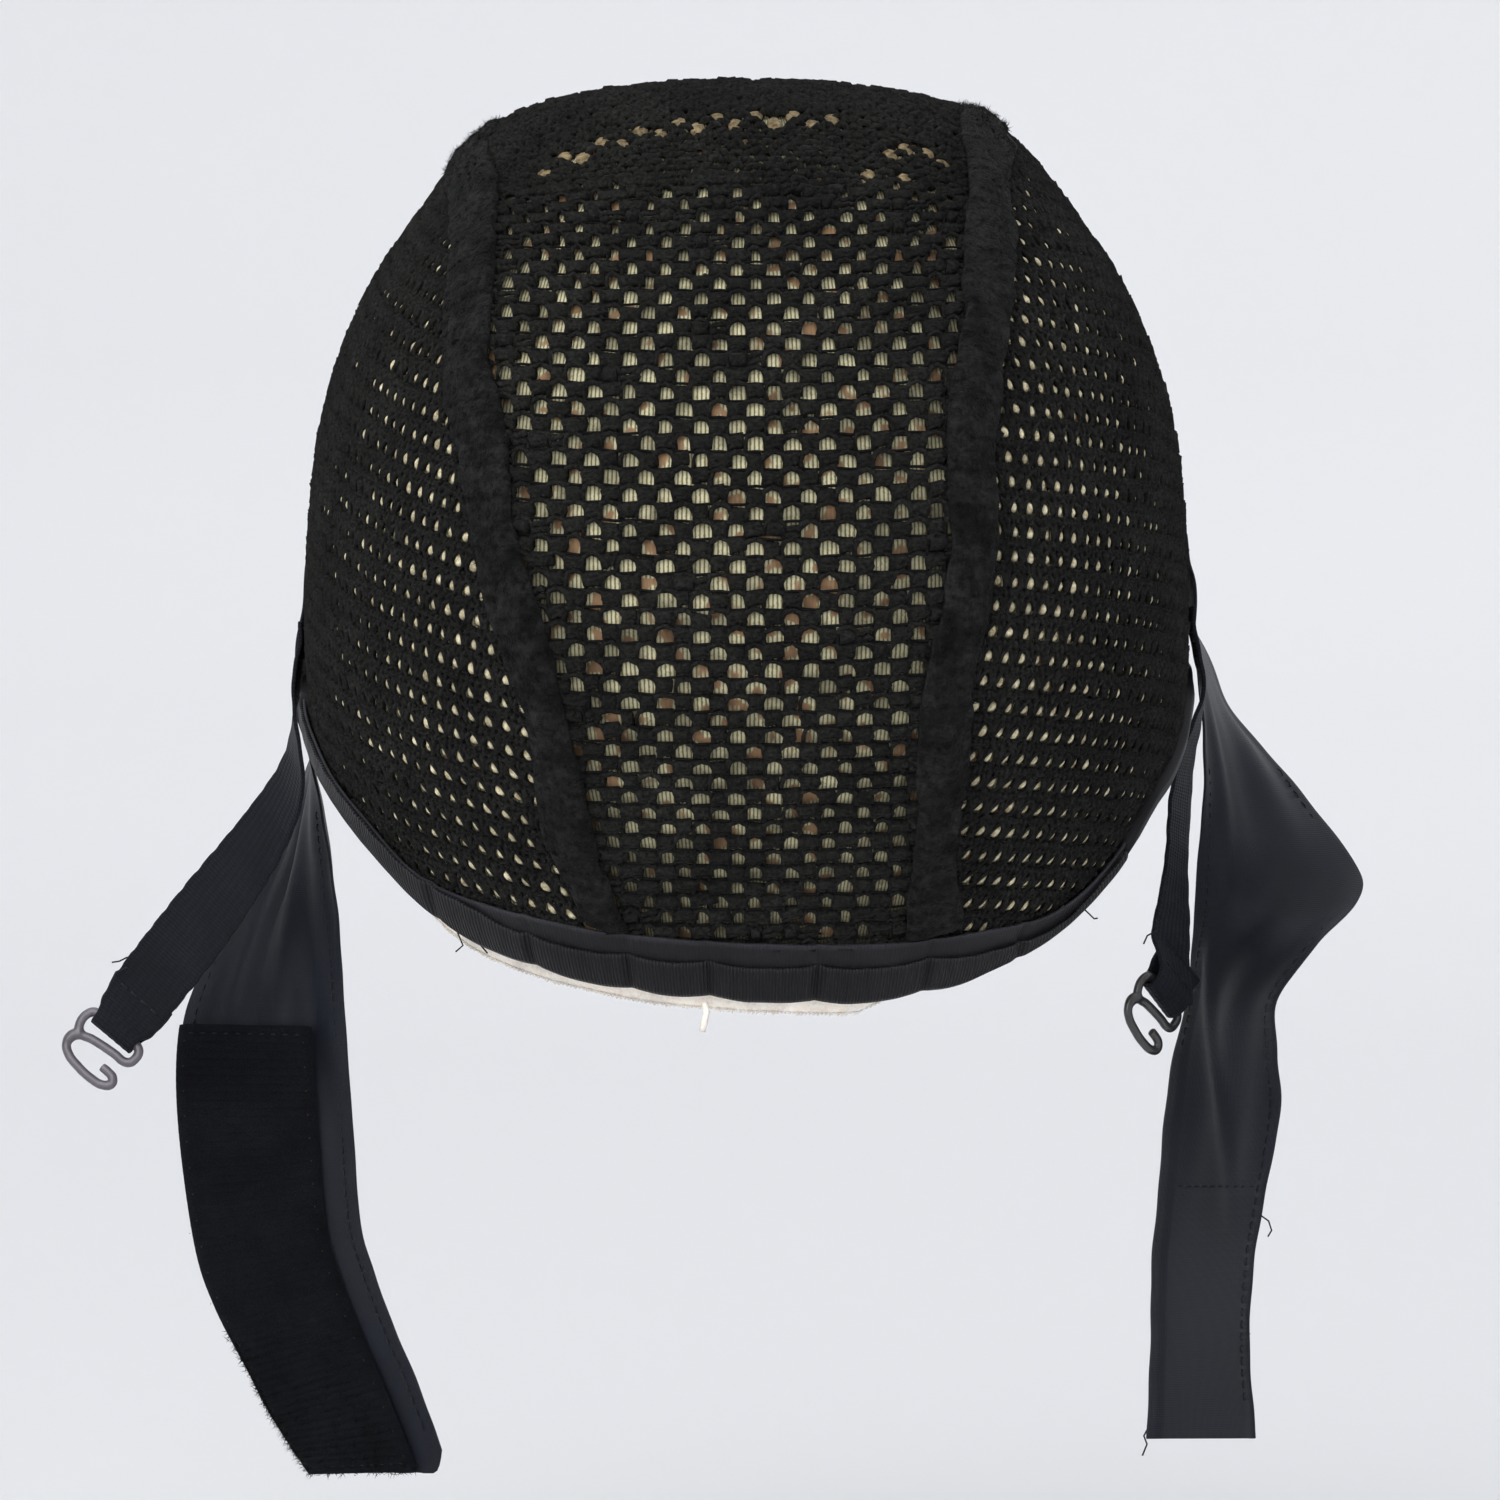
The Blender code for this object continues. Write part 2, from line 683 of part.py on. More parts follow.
def satin_strip(name, start, end, steps, material):
    """The satin edge between two angles, lying on the net's lowest few millimetres."""
    loops = []
    for around in evenly(start, end, steps):
        seen = around if around <= 180 else around - 360
        low = rim_drop(seen)
        high = satin_top(seen)
        face = TRIM_GAP + SATIN_WALL
        outline = ((high, TRIM_GAP), (high, face), (low, face), (low, TRIM_GAP))
        loops.append([at_drop(seen, drop, lift) for drop, lift in outline])
    return tube(name, loops, material)


def liner(material):
    """A thin dome under the net, open below, from rings of points up to the crown."""
    columns, rows = LINER_CELLS
    shape_points = []
    for lift in (-NET_WALL - LINER_GAP, -NET_WALL - LINER_GAP - LINER_WALL):
        for row in range(rows):
            share = row / rows
            for column in range(columns):
                around = -180 + 360 * column / columns
                edge = rim_drop(around) - HEM_TOP - LINER_HEM_GAP
                start = at_drop(around, edge) - CENTRE
                low = math.atan2(start.z, math.hypot(start.x, start.y))
                rise = low + (math.pi / 2 - low) * share
                turned = math.radians(around)
                flat = Vector((math.sin(turned), -math.cos(turned), math.tan(rise)))
                shape_points.append(on_net(CENTRE + flat, lift))
        shape_points.append(on_net(CENTRE + Vector((0, 0, 1)), lift))
    faces = []
    layer = columns * rows + 1
    for base in (0, layer):
        for row in range(rows - 1):
            for column in range(columns):
                beside = (column + 1) % columns
                corner = base + row * columns
                above = corner + columns
                faces.append((corner + column, corner + beside, above + beside, above + column))
        top = base + layer - 1
        last = base + (rows - 1) * columns
        for column in range(columns):
            faces.append((last + column, last + (column + 1) % columns, top))
    for column in range(columns):
        beside = (column + 1) % columns
        faces.append((column, beside, layer + beside, layer + column))
    return new_object("liner", shape_points, faces, material)


def liner_hem(material):
    """The liner's thicker edge, let down a little below the band at the back."""
    loops = []
    outer = -NET_WALL - LINER_GAP + HEM_STEP_OUT
    for around in evenly(-180, 180, LINER_CELLS[0])[:-1]:
        fade_in = min(1, max(0, (around - HEM_SHOWS_LEFT) / HEM_FADE))
        fade_out = min(1, max(0, (HEM_SHOWS_RIGHT - around) / HEM_FADE))
        let_down = (HEM_BELOW_BAND + HEM_HIDDEN) * min(fade_in, fade_out)
        low = rim_drop(around) - HEM_HIDDEN + let_down
        high = rim_drop(around) - HEM_TOP
        outline = ((high, outer - HEM_WALL), (high, outer), (low, outer), (low, outer - HEM_WALL))
        loops.append([at_drop(around, drop, lift) for drop, lift in outline])
    return tube("liner_hem", loops, material, closed=True)


def strap_rows(sewn, free):
    """Edge, middle and edge of a strap at each row, the sewn rows first."""
    rows = []
    for row in sewn:
        angles = (row.around_a, (row.around_a + row.around_b) / 2, row.around_b)
        rows.append([at_drop(around, row.drop, row.lift) for around in angles])
    for row in free:
        a = Vector((row.x_a, row.y_a, CROWN_HEIGHT - row.drop_a))
        b = Vector((row.x_b, row.y_b, CROWN_HEIGHT - row.drop_b))
        face = Vector((0, 0, -1)).cross(b - a).normalized()
        rows.append([a, (a + b) / 2 + face * row.bow, b])
    return rows


def strap_surface(rows):
    """A cloth surface through rows of edge, middle and edge, by shares along and across."""
    places = [[list(point) for point in row] for row in rows]
    table = smooth_table(range(len(rows)), places)
    steps = np.linspace(0, len(rows) - 1, 241)
    middles = np.array([table(step)[1] for step in steps])
    run = np.concatenate(([0], np.cumsum(np.linalg.norm(np.diff(middles, axis=0), axis=1))))

    def face_point(along, across):
        a, middle, b = table(float(np.interp(along * run[-1], run, steps)))
        straight = a * (1 - across) + b * across
        return Vector(straight + (middle - (a + b) / 2) * 4 * across * (1 - across))

    def at(along, across, lift=0.0):
        forward = face_point(min(1, along + 0.01), across)
        forward -= face_point(max(0, along - 0.01), across)
        sideways = face_point(along, min(1, across + 0.05))
        sideways -= face_point(along, max(0, across - 0.05))
        return face_point(along, across) + forward.cross(sideways).normalized() * lift

    return at, run[-1]


def strap(name, surface, wall, shares, material):
    outer = []
    inner = []
    for along in shares:
        outer.append([surface(along, across, wall / 2) for across in (0, 0.5, 1)])
        inner.append([surface(along, across, -wall / 2) for across in (0, 0.5, 1)])
    return slab(name, outer, inner, material)


def touch_patch(name, surface, patch, material):
    near = patch.side * (WIDE_WALL / 2 + PATCH_GAP)
    far = patch.side * (WIDE_WALL / 2 + PATCH_GAP + PATCH_WALL)
    steps = round(STRAP_STEPS * (patch.end - patch.start))
    outer = []
    inner = []
    for along in evenly(patch.start, patch.end, steps):
        shares = evenly(patch.from_a, patch.to_b, 2)
        outer.append([surface(along, across, far) for across in shares])
        inner.append([surface(along, across, near) for across in shares])
    return slab(name, outer, inner, material)


def loop_frame(loop):
    """The fold's middle, and the ways across the strap, out of its end and off its face."""
    middle = Vector((loop.x, loop.y, CROWN_HEIGHT - loop.drop))
    across = Vector((loop.across_x, loop.across_y, loop.across_up)).normalized()
    out = Vector((loop.out_x, loop.out_y, loop.out_up))
    out = (out - across * out.dot(across)).normalized()
    return middle, across, out, out.cross(across)


def elastic_rows(sewn, free, loop):
    """A strap whose end folds round the hook's bar and comes back along its own inner face."""
    middle, across, out, off = loop_frame(loop)
    rows = strap_rows(sewn, free)
    for fold in LOOP_FOLDS:
        point = middle + out * fold.along + off * fold.off
        rows.append([point - across * fold.half_width, point, point + across * fold.half_width])
    return rows


def hook(name, loop, material):
    """A ring of wire whose straight side runs through the loop, joined to an open curl."""
    middle, across, out, off = loop_frame(loop)

    def wire(bends, closed, thick_start):
        centre = [middle + across * bend.along + out * bend.out for bend in bends]
        loops = []
        for place, point in enumerate(centre):
            if closed:
                ahead = centre[(place + 1) % len(centre)] - centre[place - 1]
            else:
                ahead = centre[min(place + 1, len(centre) - 1)] - centre[max(place - 1, 0)]
            beside = ahead.normalized().cross(off)
            radius = HOOK_NECK if thick_start and place < 2 else HOOK_WIRE
            loop_points = []
            for corner in range(HOOK_SIDES):
                turned = math.tau * (corner + 0.5) / HOOK_SIDES
                flat_side = off * HOOK_WIRE * HOOK_FLATNESS * math.sin(turned)
                loop_points.append(point + beside * radius * math.cos(turned) + flat_side)
            loops.append(loop_points)
        return tube(name + ("_ring" if closed else "_curl"), loops, material, closed)

    ring = wire(HOOK_RING, True, False)
    curl = wire(HOOK_CURL, False, True)
    ring.name = name
    join = ring.modifiers.new("curl", "BOOLEAN")
    join.operation = "UNION"
    join.solver = "EXACT"
    join.object = curl
    curl.hide_render = True
    curl.display_type = "WIRE"
    return ring


def build():
    for old in list(bpy.data.objects):
        bpy.data.objects.remove(old, do_unlink=True)

    knit = cloth("black knit", (0.022, 0.022, 0.02), 0.9)
    fuzz = cloth("black tape", (0.012, 0.012, 0.012), 0.95)
    satin = cloth("dark satin", (0.018, 0.019, 0.024), 0.5)
    navy = cloth("navy satin", (0.012, 0.013, 0.02), 0.5)
    elastic_cloth = cloth("black elastic", (0.014, 0.015, 0.02), 0.7)
    cream = cloth("cream knit", (0.6, 0.56, 0.36), 0.9)
    hem_cloth = cloth("cream edge", (0.8, 0.68, 0.55), 0.9)
    napped = cloth("black hook-and-loop", (0.008, 0.008, 0.009), 0.98)
    plastic = cloth("grey hook", (0.12, 0.12, 0.13), 0.35)

    net_panels(knit)
    seam_tape("seam_tape_left", -1, fuzz)
    seam_tape("seam_tape_right", 1, fuzz)
    liner(cream)
    liner_hem(hem_cloth)
    satin_strip("nape_band", BAND_LEFT_END, BAND_RIGHT_END, BAND_STEPS, satin)
    binding_start = BAND_RIGHT_END + BAND_PARTING
    binding_end = 360 + BAND_LEFT_END - BAND_PARTING
    satin_strip("edge_binding", binding_start, binding_end, BINDING_STEPS, satin)

    straps = (
        ("left", WIDE_LEFT_SEWN, WIDE_LEFT, PATCH_LEFT),
        ("right", WIDE_RIGHT_SEWN, WIDE_RIGHT, PATCH_RIGHT),
    )
    for side, sewn, free, patch in straps:
        surface, length = strap_surface(strap_rows(sewn, free))
        print("wide strap", side, "is", round(length, 1), "mm long")
        strap("wide_strap_" + side, surface, WIDE_WALL, evenly(0, 1, STRAP_STEPS), navy)
        touch_patch("touch_patch_" + side, surface, patch, napped)

    elastics = (
        ("left", ELASTIC_LEFT_SEWN, ELASTIC_LEFT, LOOP_LEFT),
        ("right", ELASTIC_RIGHT_SEWN, ELASTIC_RIGHT, LOOP_RIGHT),
    )
    for side, sewn, free, loop in elastics:
        surface, length = strap_surface(elastic_rows(sewn, free, loop))
        print("elastic strap", side, "is", round(length, 1), "mm long with its fold")
        strap("elastic_strap_" + side, surface, ELASTIC_WALL, ELASTIC_SHARES, elastic_cloth)
        hook("strap_hook_" + side, loop, plastic)


build()
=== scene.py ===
# %% [markdown]
# # A wig grip cap
# A coarse knitted net in three panels is stretched over a close cream liner. Two fuzzy tapes
# cover its seams, a folded satin band binds the nape, and a narrow elastic strap and a wide
# satin strap hang from each side. The solids loaded from model.glb hold every size and place.
# This lesson gives each of them its cloth, stitch by stitch where the stitches can be seen.

import math
from collections import namedtuple

import bpy
import numpy as np
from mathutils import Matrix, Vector


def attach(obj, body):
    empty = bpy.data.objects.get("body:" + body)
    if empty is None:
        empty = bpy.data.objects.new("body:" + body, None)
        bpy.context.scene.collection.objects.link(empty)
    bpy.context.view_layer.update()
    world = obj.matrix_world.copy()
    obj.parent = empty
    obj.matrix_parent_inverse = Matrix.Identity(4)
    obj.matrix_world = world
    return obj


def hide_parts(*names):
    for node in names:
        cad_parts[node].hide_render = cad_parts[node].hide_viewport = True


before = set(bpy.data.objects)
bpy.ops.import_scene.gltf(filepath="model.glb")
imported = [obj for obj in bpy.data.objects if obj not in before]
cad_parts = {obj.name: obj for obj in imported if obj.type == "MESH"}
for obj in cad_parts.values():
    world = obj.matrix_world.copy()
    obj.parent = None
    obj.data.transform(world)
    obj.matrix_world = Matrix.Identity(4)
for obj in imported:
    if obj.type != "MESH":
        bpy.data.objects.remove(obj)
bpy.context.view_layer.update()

# %% [markdown]
# ## The camera
# The cap is seen straight from behind and nearly level, from far enough away that its two
# sides look almost parallel. A long lens at 1.25 m does that. The lens is given as the width
# of the view at the cap, because that width is what sets the scale of the picture.

# %% Place the camera
MM = 0.001
VIEW_WIDTH = 285.0 * MM
CAMERA_DISTANCE = 1.25
CAMERA_ACROSS = 0.57 * MM
CAMERA_HEIGHT = -122.35 * MM

lens = bpy.data.cameras.new("camera")
lens.angle = 2 * math.atan(VIEW_WIDTH / 2 / CAMERA_DISTANCE)
camera = bpy.data.objects.new("camera", lens)
camera.location = (CAMERA_ACROSS, -CAMERA_DISTANCE, CAMERA_HEIGHT)
camera.rotation_euler = (math.radians(90), 0, 0)
bpy.context.collection.objects.link(camera)
bpy.context.scene.camera = camera
print("the lens sees", round(math.degrees(lens.angle), 2), "degrees")

# %% [markdown]
# ## The studio
# The light is soft and nearly even, on a plain pale floor that curves up into a pale wall with
# no edge to be seen. A circle is filled for the floor, and its rim is extruded outwards and
# upwards in a few steps to make the bowl. It is wide, so that the other views stay inside it.

# %% Select and shape by hand
def start_clean():
    """Nothing is selected, so that the next operator acts on the new shape only."""
    if bpy.context.object and bpy.context.object.mode != "OBJECT":
        bpy.ops.object.mode_set(mode="OBJECT")
    bpy.ops.object.select_all(action="DESELECT")


def only(piece):
    start_clean()
    piece.select_set(True)
    bpy.context.view_layer.objects.active = piece
    return piece


def edit(piece, kind="VERT"):
    """Edit mode on one piece, with nothing of it selected."""
    only(piece)
    bpy.ops.object.mode_set(mode="EDIT")
    bpy.ops.mesh.select_mode(type=kind)
    bpy.ops.mesh.select_all(action="DESELECT")


def leave_edit():
    bpy.ops.object.mode_set(mode="OBJECT")


# %% Make the pale bowl
FLOOR_HEIGHT = -0.30
FLOOR_RADIUS = 2.6
BOWL_SIDES = 96
BOWL_STEPS = ((0.35, 0.05), (0.3, 0.15), (0.2, 0.25), (0.1, 0.4), (0.0, 1.0), (0.0, 1.4))

start_clean()
bpy.ops.mesh.primitive_circle_add(
    vertices=BOWL_SIDES, radius=FLOOR_RADIUS, fill_type="NGON", location=(0, 0, FLOOR_HEIGHT)
)
bowl = bpy.context.object
bowl.name = "pale_bowl"
edit(bowl, "EDGE")
bpy.ops.mesh.select_all(action="SELECT")
bpy.ops.mesh.region_to_loop()
radius = FLOOR_RADIUS
for out, up in BOWL_STEPS:
    bpy.ops.mesh.extrude_region_move(TRANSFORM_OT_translate={"value": (0, 0, up)})
    grown = (radius + out) / radius
    bpy.ops.transform.resize(value=(grown, grown, 1))
    radius += out
leave_edit()
bpy.ops.object.transform_apply(location=True, rotation=True, scale=True)
bpy.ops.object.shade_smooth()
print("the bowl is", round(2 * radius, 2), "m wide")

# %% Give the bowl a matt pale finish
def plain_material(name, colour, roughness):
    material = bpy.data.materials.new(name)
    material.use_nodes = True
    shader = material.node_tree.nodes["Principled BSDF"]
    shader.inputs["Base Color"].default_value = (*colour, 1)
    shader.inputs["Roughness"].default_value = roughness
    return material


BOWL_COLOUR = (0.80, 0.80, 0.81)
bowl.data.materials.append(plain_material("matt pale paper", BOWL_COLOUR, 1.0))

# %% Hang the soft lights
Sun = namedtuple("Sun", "name toward strength spread")
SUNS = (
    Sun("key", (-0.45, -1.0, 0.8), 1.0, 50),
    Sun("fill", (0.8, -1.0, 0.3), 0.5, 60),
    Sun("top", (0.0, 0.2, 1.0), 0.3, 60),
)
for sun in SUNS:
    light = bpy.data.lights.new(sun.name, "SUN")
    light.energy = sun.strength
    light.angle = math.radians(sun.spread)
    hung = bpy.data.objects.new(sun.name, light)
    hung.rotation_euler = Vector(sun.toward).to_track_quat("Z", "Y").to_euler()
    bpy.context.collection.objects.link(hung)

FRONT_PLACE = (-0.45, -1.35, 0.45)
FRONT_SIZE = 1.3
FRONT_WATTS = 12
LIT_PLACE = (0.0, 0.0, -0.1)
front = bpy.data.lights.new("front", "AREA")
front.size = FRONT_SIZE
front.energy = FRONT_WATTS
front_hung = bpy.data.objects.new("front", front)
front_hung.location = FRONT_PLACE
to_cap = Vector(LIT_PLACE) - Vector(FRONT_PLACE)
front_hung.rotation_euler = to_cap.to_track_quat("-Z", "Y").to_euler()
front_hung.visible_camera = False
bpy.context.collection.objects.link(front_hung)

ROOM_COLOUR = (0.93, 0.96, 1.0)
ROOM_STRENGTH = 0.78
world = bpy.data.worlds.new("pale room")
bpy.context.scene.world = world
world.use_nodes = True
room = world.node_tree.nodes["Background"]
room.inputs["Color"].default_value = (*ROOM_COLOUR, 1)
room.inputs["Strength"].default_value = ROOM_STRENGTH
bpy.context.scene.view_settings.view_transform = "Standard"
print(len(SUNS) + 1, "soft lights")

# %% [markdown]
# ## The form that everything lies on
# The net's outer face is one smooth form. Level sections from the crown down give it: how wide
# it is, and how far it reaches to the back and to the front. A stitch, a tape or a band is laid
# on it by two numbers and a lift. The numbers are a depth below the crown, called a drop, with
# an angle around, or a distance from the middle with a turn over the crown. All are millimetres
# and degrees, and they are arrays, so a hundred thousand points are laid at once.

# %% The sections of the net
CENTRE_DROP = 95.0
CROWN_HEIGHT = 4.0
SQUARENESS = 2.2
Section = namedtuple("Section", "drop half_width back front")
CAP_SECTIONS = (
    Section(0.0, 0.0, 0.0, 0.0),
    Section(1.1, 20.0, 19.0, 23.0),
    Section(3.4, 34.5, 32.5, 39.0),
    Section(6.4, 44.0, 43.5, 51.0),
    Section(10.2, 50.2, 52.5, 59.5),
    Section(15.4, 55.3, 61.0, 67.0),
    Section(22.7, 60.8, 70.5, 75.0),
    Section(37.0, 70.5, 82.5, 85.0),
    Section(52.0, 77.2, 91.0, 92.0),
    Section(68.0, 81.3, 96.0, 96.0),
    Section(90.0, 83.3, 98.5, 98.0),
    Section(110.0, 83.3, 97.0, 98.0),
    Section(125.0, 82.0, 92.0, 97.0),
    Section(140.0, 78.8, 84.0, 95.0),
    Section(155.0, 74.5, 75.0, 92.0),
    Section(172.0, 69.0, 66.0, 88.0),
    Section(185.0, 66.0, 62.0, 86.0),
)
Rim = namedtuple("Rim", "around drop_left drop_right satin_left satin_right")
RIM = (
    Rim(0, 171.0, 171.0, 10.3, 10.3),
    Rim(20, 168.5, 171.0, 10.0, 10.3),
    Rim(35, 163.5, 167.0, 9.0, 8.5),
    Rim(48, 155.5, 158.6, 7.0, 4.2),
    Rim(56, 146.0, 149.5, 6.4, 3.6),
    Rim(63, 138.5, 138.5, 6.0, 3.2),
    Rim(72, 130.0, 130.0, 5.6, 3.0),
    Rim(82, 122.0, 120.5, 5.4, 3.4),
    Rim(92, 118.0, 115.0, 6.0, 4.5),
    Rim(105, 117.0, 114.0, 7.0, 6.5),
    Rim(118, 110.0, 109.0, 8.0, 8.0),
    Rim(130, 96.0, 96.0, 8.0, 8.0),
    Rim(145, 78.0, 78.0, 8.0, 8.0),
    Rim(163, 66.0, 66.0, 8.0, 8.0),
    Rim(180, 63.0, 63.0, 8.0, 8.0),
)
Seam = namedtuple("Seam", "turn left right")
SEAMS = (
    Seam(-60, -20.0, 33.0),
    Seam(-43, -24.0, 33.3),
    Seam(-33, -30.5, 33.5),
    Seam(-20, -34.0, 34.5),
    Seam(-5, -40.5, 37.5),
    Seam(7, -45.0, 40.0),
    Seam(19, -47.7, 39.5),
    Seam(33, -50.0, 43.0),
    Seam(48, -48.5, 43.5),
    Seam(66, -51.5, 44.0),
    Seam(90, -50.0, 44.0),
    Seam(115, -48.0, 44.0),
    Seam(140, -46.0, 44.0),
    Seam(180, -45.0, 45.0),
)

# %% Read a short table smoothly
def smooth_table(places, rows):
    """A curve through a table's rows, with each row's slope taken from its neighbours."""
    places = np.array(places, float)
    rows = np.array(rows, float)
    slopes = np.gradient(rows, places, axis=0)

    def at(place):
        place = np.clip(np.asarray(place, float), places[0], places[-1])
        low = np.clip(np.searchsorted(places, place, side="right") - 1, 0, len(places) - 2)
        span = places[low + 1] - places[low]
        t = (place - places[low]) / span
        shape = place.shape + (1,) * (rows.ndim - 1)
        from_low = (1 - t * t * (3 - 2 * t)).reshape(shape)
        lean_low = (t * (1 - t) ** 2 * span).reshape(shape)
        lean_high = (-t * t * (1 - t) * span).reshape(shape)
        steady = rows[low] * from_low + rows[low + 1] * (1 - from_low)
        return steady + slopes[low] * lean_low + slopes[low + 1] * lean_high

    return at


LEVEL_COUNT = 481
section_at = smooth_table(range(len(CAP_SECTIONS)), CAP_SECTIONS)
LEVELS = np.maximum(section_at(np.linspace(0, len(CAP_SECTIONS) - 1, LEVEL_COUNT)), 1e-6)
rim_table = smooth_table([row.around for row in RIM], [row[1:] for row in RIM])
seam_table = smooth_table([row.turn for row in SEAMS], [row[1:] for row in SEAMS])
CENTRE = np.array((0.0, 0.0, CROWN_HEIGHT - CENTRE_DROP))
print("the form is", round(LEVELS[:, 1].max() * 2, 1), "mm wide")


def rim_drop(around):
    both = rim_table(np.abs(around))
    return np.where(np.asarray(around) > 0, both[..., 1], both[..., 0])


def satin_depth(around):
    both = rim_table(np.abs(around))
    return np.where(np.asarray(around) > 0, both[..., 3], both[..., 2])


def satin_top(around):
    return rim_drop(around) - satin_depth(around)


def seam_across(side, turn):
    return seam_table(turn)[..., 1 if side > 0 else 0]


def from_seams(across, turn):
    """How far inside the two seams a place of the middle panel lies."""
    return np.minimum(across - seam_across(-1, turn), seam_across(1, turn) - across)


def wrapped(around):
    """An angle brought between -180 and 180 degrees."""
    return (around + 180.0) % 360 - 180


# %% Work the form out once, on a fine grid of directions
AROUND_GRID = np.linspace(-180, 180, 361)
RISE_GRID = np.linspace(-60, 90, 301)
DROP_GRID = np.linspace(0, 185, 741)


def reach(around):
    """How far the net reaches from the vertical axis at every level, in one direction."""
    sideways = abs(math.sin(math.radians(around)))
    lengthways = math.cos(math.radians(around))
    depth = LEVELS[:, 2] if lengthways > 0 else LEVELS[:, 3]
    power = (sideways / LEVELS[:, 1]) ** SQUARENESS + (abs(lengthways) / depth) ** SQUARENESS
    return power ** (-1 / SQUARENESS)


DISTANCE = np.empty((len(AROUND_GRID), len(RISE_GRID)))
OUT = np.empty((len(AROUND_GRID), len(DROP_GRID)))
for place, around in enumerate(AROUND_GRID):
    out = reach(around)
    above = CENTRE_DROP - LEVELS[:, 0]
    rise = np.degrees(np.arctan2(above, out))
    DISTANCE[place] = np.interp(RISE_GRID, rise[::-1], np.hypot(out, above)[::-1])
    OUT[place] = np.interp(DROP_GRID, LEVELS[:, 0], out)
print("directions worked out:", DISTANCE.size)


def read_grid(grid, first, second):
    """Values between a grid's rows and columns."""
    first = np.clip(first, 0, grid.shape[0] - 1.001)
    second = np.clip(second, 0, grid.shape[1] - 1.001)
    row = first.astype(int)
    column = second.astype(int)
    down = first - row
    right = second - column
    upper = grid[row, column] * (1 - right) + grid[row, column + 1] * right
    lower = grid[row + 1, column] * (1 - right) + grid[row + 1, column + 1] * right
    return upper * (1 - down) + lower * down


# %% Lay points on the form
def unit(ways):
    return ways / np.linalg.norm(ways, axis=-1, keepdims=True)


def net_point(ways):
    """Where rays from the cap's centre meet the net's outer face."""
    around = np.degrees(np.arctan2(ways[:, 0], -ways[:, 1]))
    rise = np.degrees(np.arctan2(ways[:, 2], np.hypot(ways[:, 0], ways[:, 1])))
    rise_step = RISE_GRID[1] - RISE_GRID[0]
    far = read_grid(DISTANCE, around + 180, (rise - RISE_GRID[0]) / rise_step)
    return CENTRE + unit(ways) * far[:, None]


NORMAL_STEP = 0.02
SEARCH_ROUNDS = 24


def net_normal(ways):
    ways = unit(ways)
    helper = np.where(np.abs(ways[:, :1]) < 0.8, (1.0, 0, 0), (0, 1.0, 0))
    side = unit(np.cross(ways, helper)) * NORMAL_STEP
    other = np.cross(ways, side)
    first = net_point(ways + side) - net_point(ways - side)
    second = net_point(ways + other) - net_point(ways - other)
    normal = unit(np.cross(first, second))
    outwards = np.sign(np.sum(normal * ways, axis=1, keepdims=True))
    return normal * outwards


def lifted(points, lift):
    ways = points - CENTRE
    return net_point(ways) + net_normal(ways) * np.broadcast_to(lift, len(points))[:, None]


def at_drop(around, drop, lift=0.0):
    """Points on the net's face at an angle around and a drop, moved out by a lift."""
    around, drop, lift = np.broadcast_arrays(around, drop, lift)
    around = wrapped(around)
    out = read_grid(OUT, around + 180, drop / (DROP_GRID[1] - DROP_GRID[0]))
    turned = np.radians(around)
    flat = np.stack((out * np.sin(turned), -out * np.cos(turned), CROWN_HEIGHT - drop), axis=1)
    return flat + net_normal(flat - CENTRE) * lift[:, None]


def at_turn(across, turn, lift=0.0):
    """Points on the net's face at a distance from the middle plane and a turn over the crown."""
    across, turn, lift = np.broadcast_arrays(across, turn, lift)
    radius = np.full(len(across), CENTRE_DROP)
    for _ in range(SEARCH_ROUNDS):
        back = radius * np.cos(np.radians(turn))
        up = radius * np.sin(np.radians(turn))
        flat = np.stack((across, -back, up), axis=1)
        found = np.linalg.norm(net_point(flat) - CENTRE, axis=1)
        radius = radius * found / np.linalg.norm(flat, axis=1)
    return lifted(CENTRE + flat, lift)


def around_of(points):
    return np.degrees(np.arctan2(points[:, 0], -points[:, 1]))


def drop_of(points):
    return CROWN_HEIGHT - points[:, 2]


def turn_of(points):
    return np.degrees(np.arctan2(points[:, 2] - CENTRE[2], -points[:, 1]))


crown = at_turn(np.zeros(1), np.full(1, 90.0))[0]
print("the crown lies at", crown.round(2), "mm")

# %% [markdown]
# ## Yarn
# A strand of yarn is drawn as a curve through a few points and thickened into a tube with four
# sides. Four are enough: there are thousands of stitches, and a strand is only a millimetre or
# two thick. The whole stitch is joined into one mesh, and array modifiers repeat it.

# %% Draw a strand
MERGE_WITHIN = 0.00001


def face_outwards(piece, merge=False):
    """Turn all faces outwards, and first merge the points that lie together if asked."""
    edit(piece)
    bpy.ops.mesh.select_all(action="SELECT")
    if merge:
        bpy.ops.mesh.remove_doubles(threshold=MERGE_WITHIN)
    bpy.ops.mesh.normals_make_consistent(inside=False)
    leave_edit()


def yarn(points, thickness, sides_level=0):
    """A strand through points in millimetres, as a closed tube."""
    start_clean()
    path = bpy.data.curves.new("strand", "CURVE")
    path.dimensions = "3D"
    path.bevel_depth = thickness / 2 * MM
    path.bevel_resolution = sides_level
    path.use_fill_caps = True
    run = path.splines.new("POLY")
    run.points.add(len(points) - 1)
    for knot, place in zip(run.points, points):
        knot.co = (place[0] * MM, place[1] * MM, place[2] * MM, 1)
    strand = bpy.data.objects.new("strand", path)
    bpy.context.collection.objects.link(strand)
    only(strand)
    bpy.ops.object.convert(target="MESH")
    strand = bpy.context.object
    face_outwards(strand, merge=True)
    return strand


def join(name, pieces):
    only(pieces[0])
    for piece in pieces:
        piece.select_set(True)
    if len(pieces) > 1:
        bpy.ops.object.join()
    joined = bpy.context.object
    joined.name = name
    joined.data.name = name
    return joined


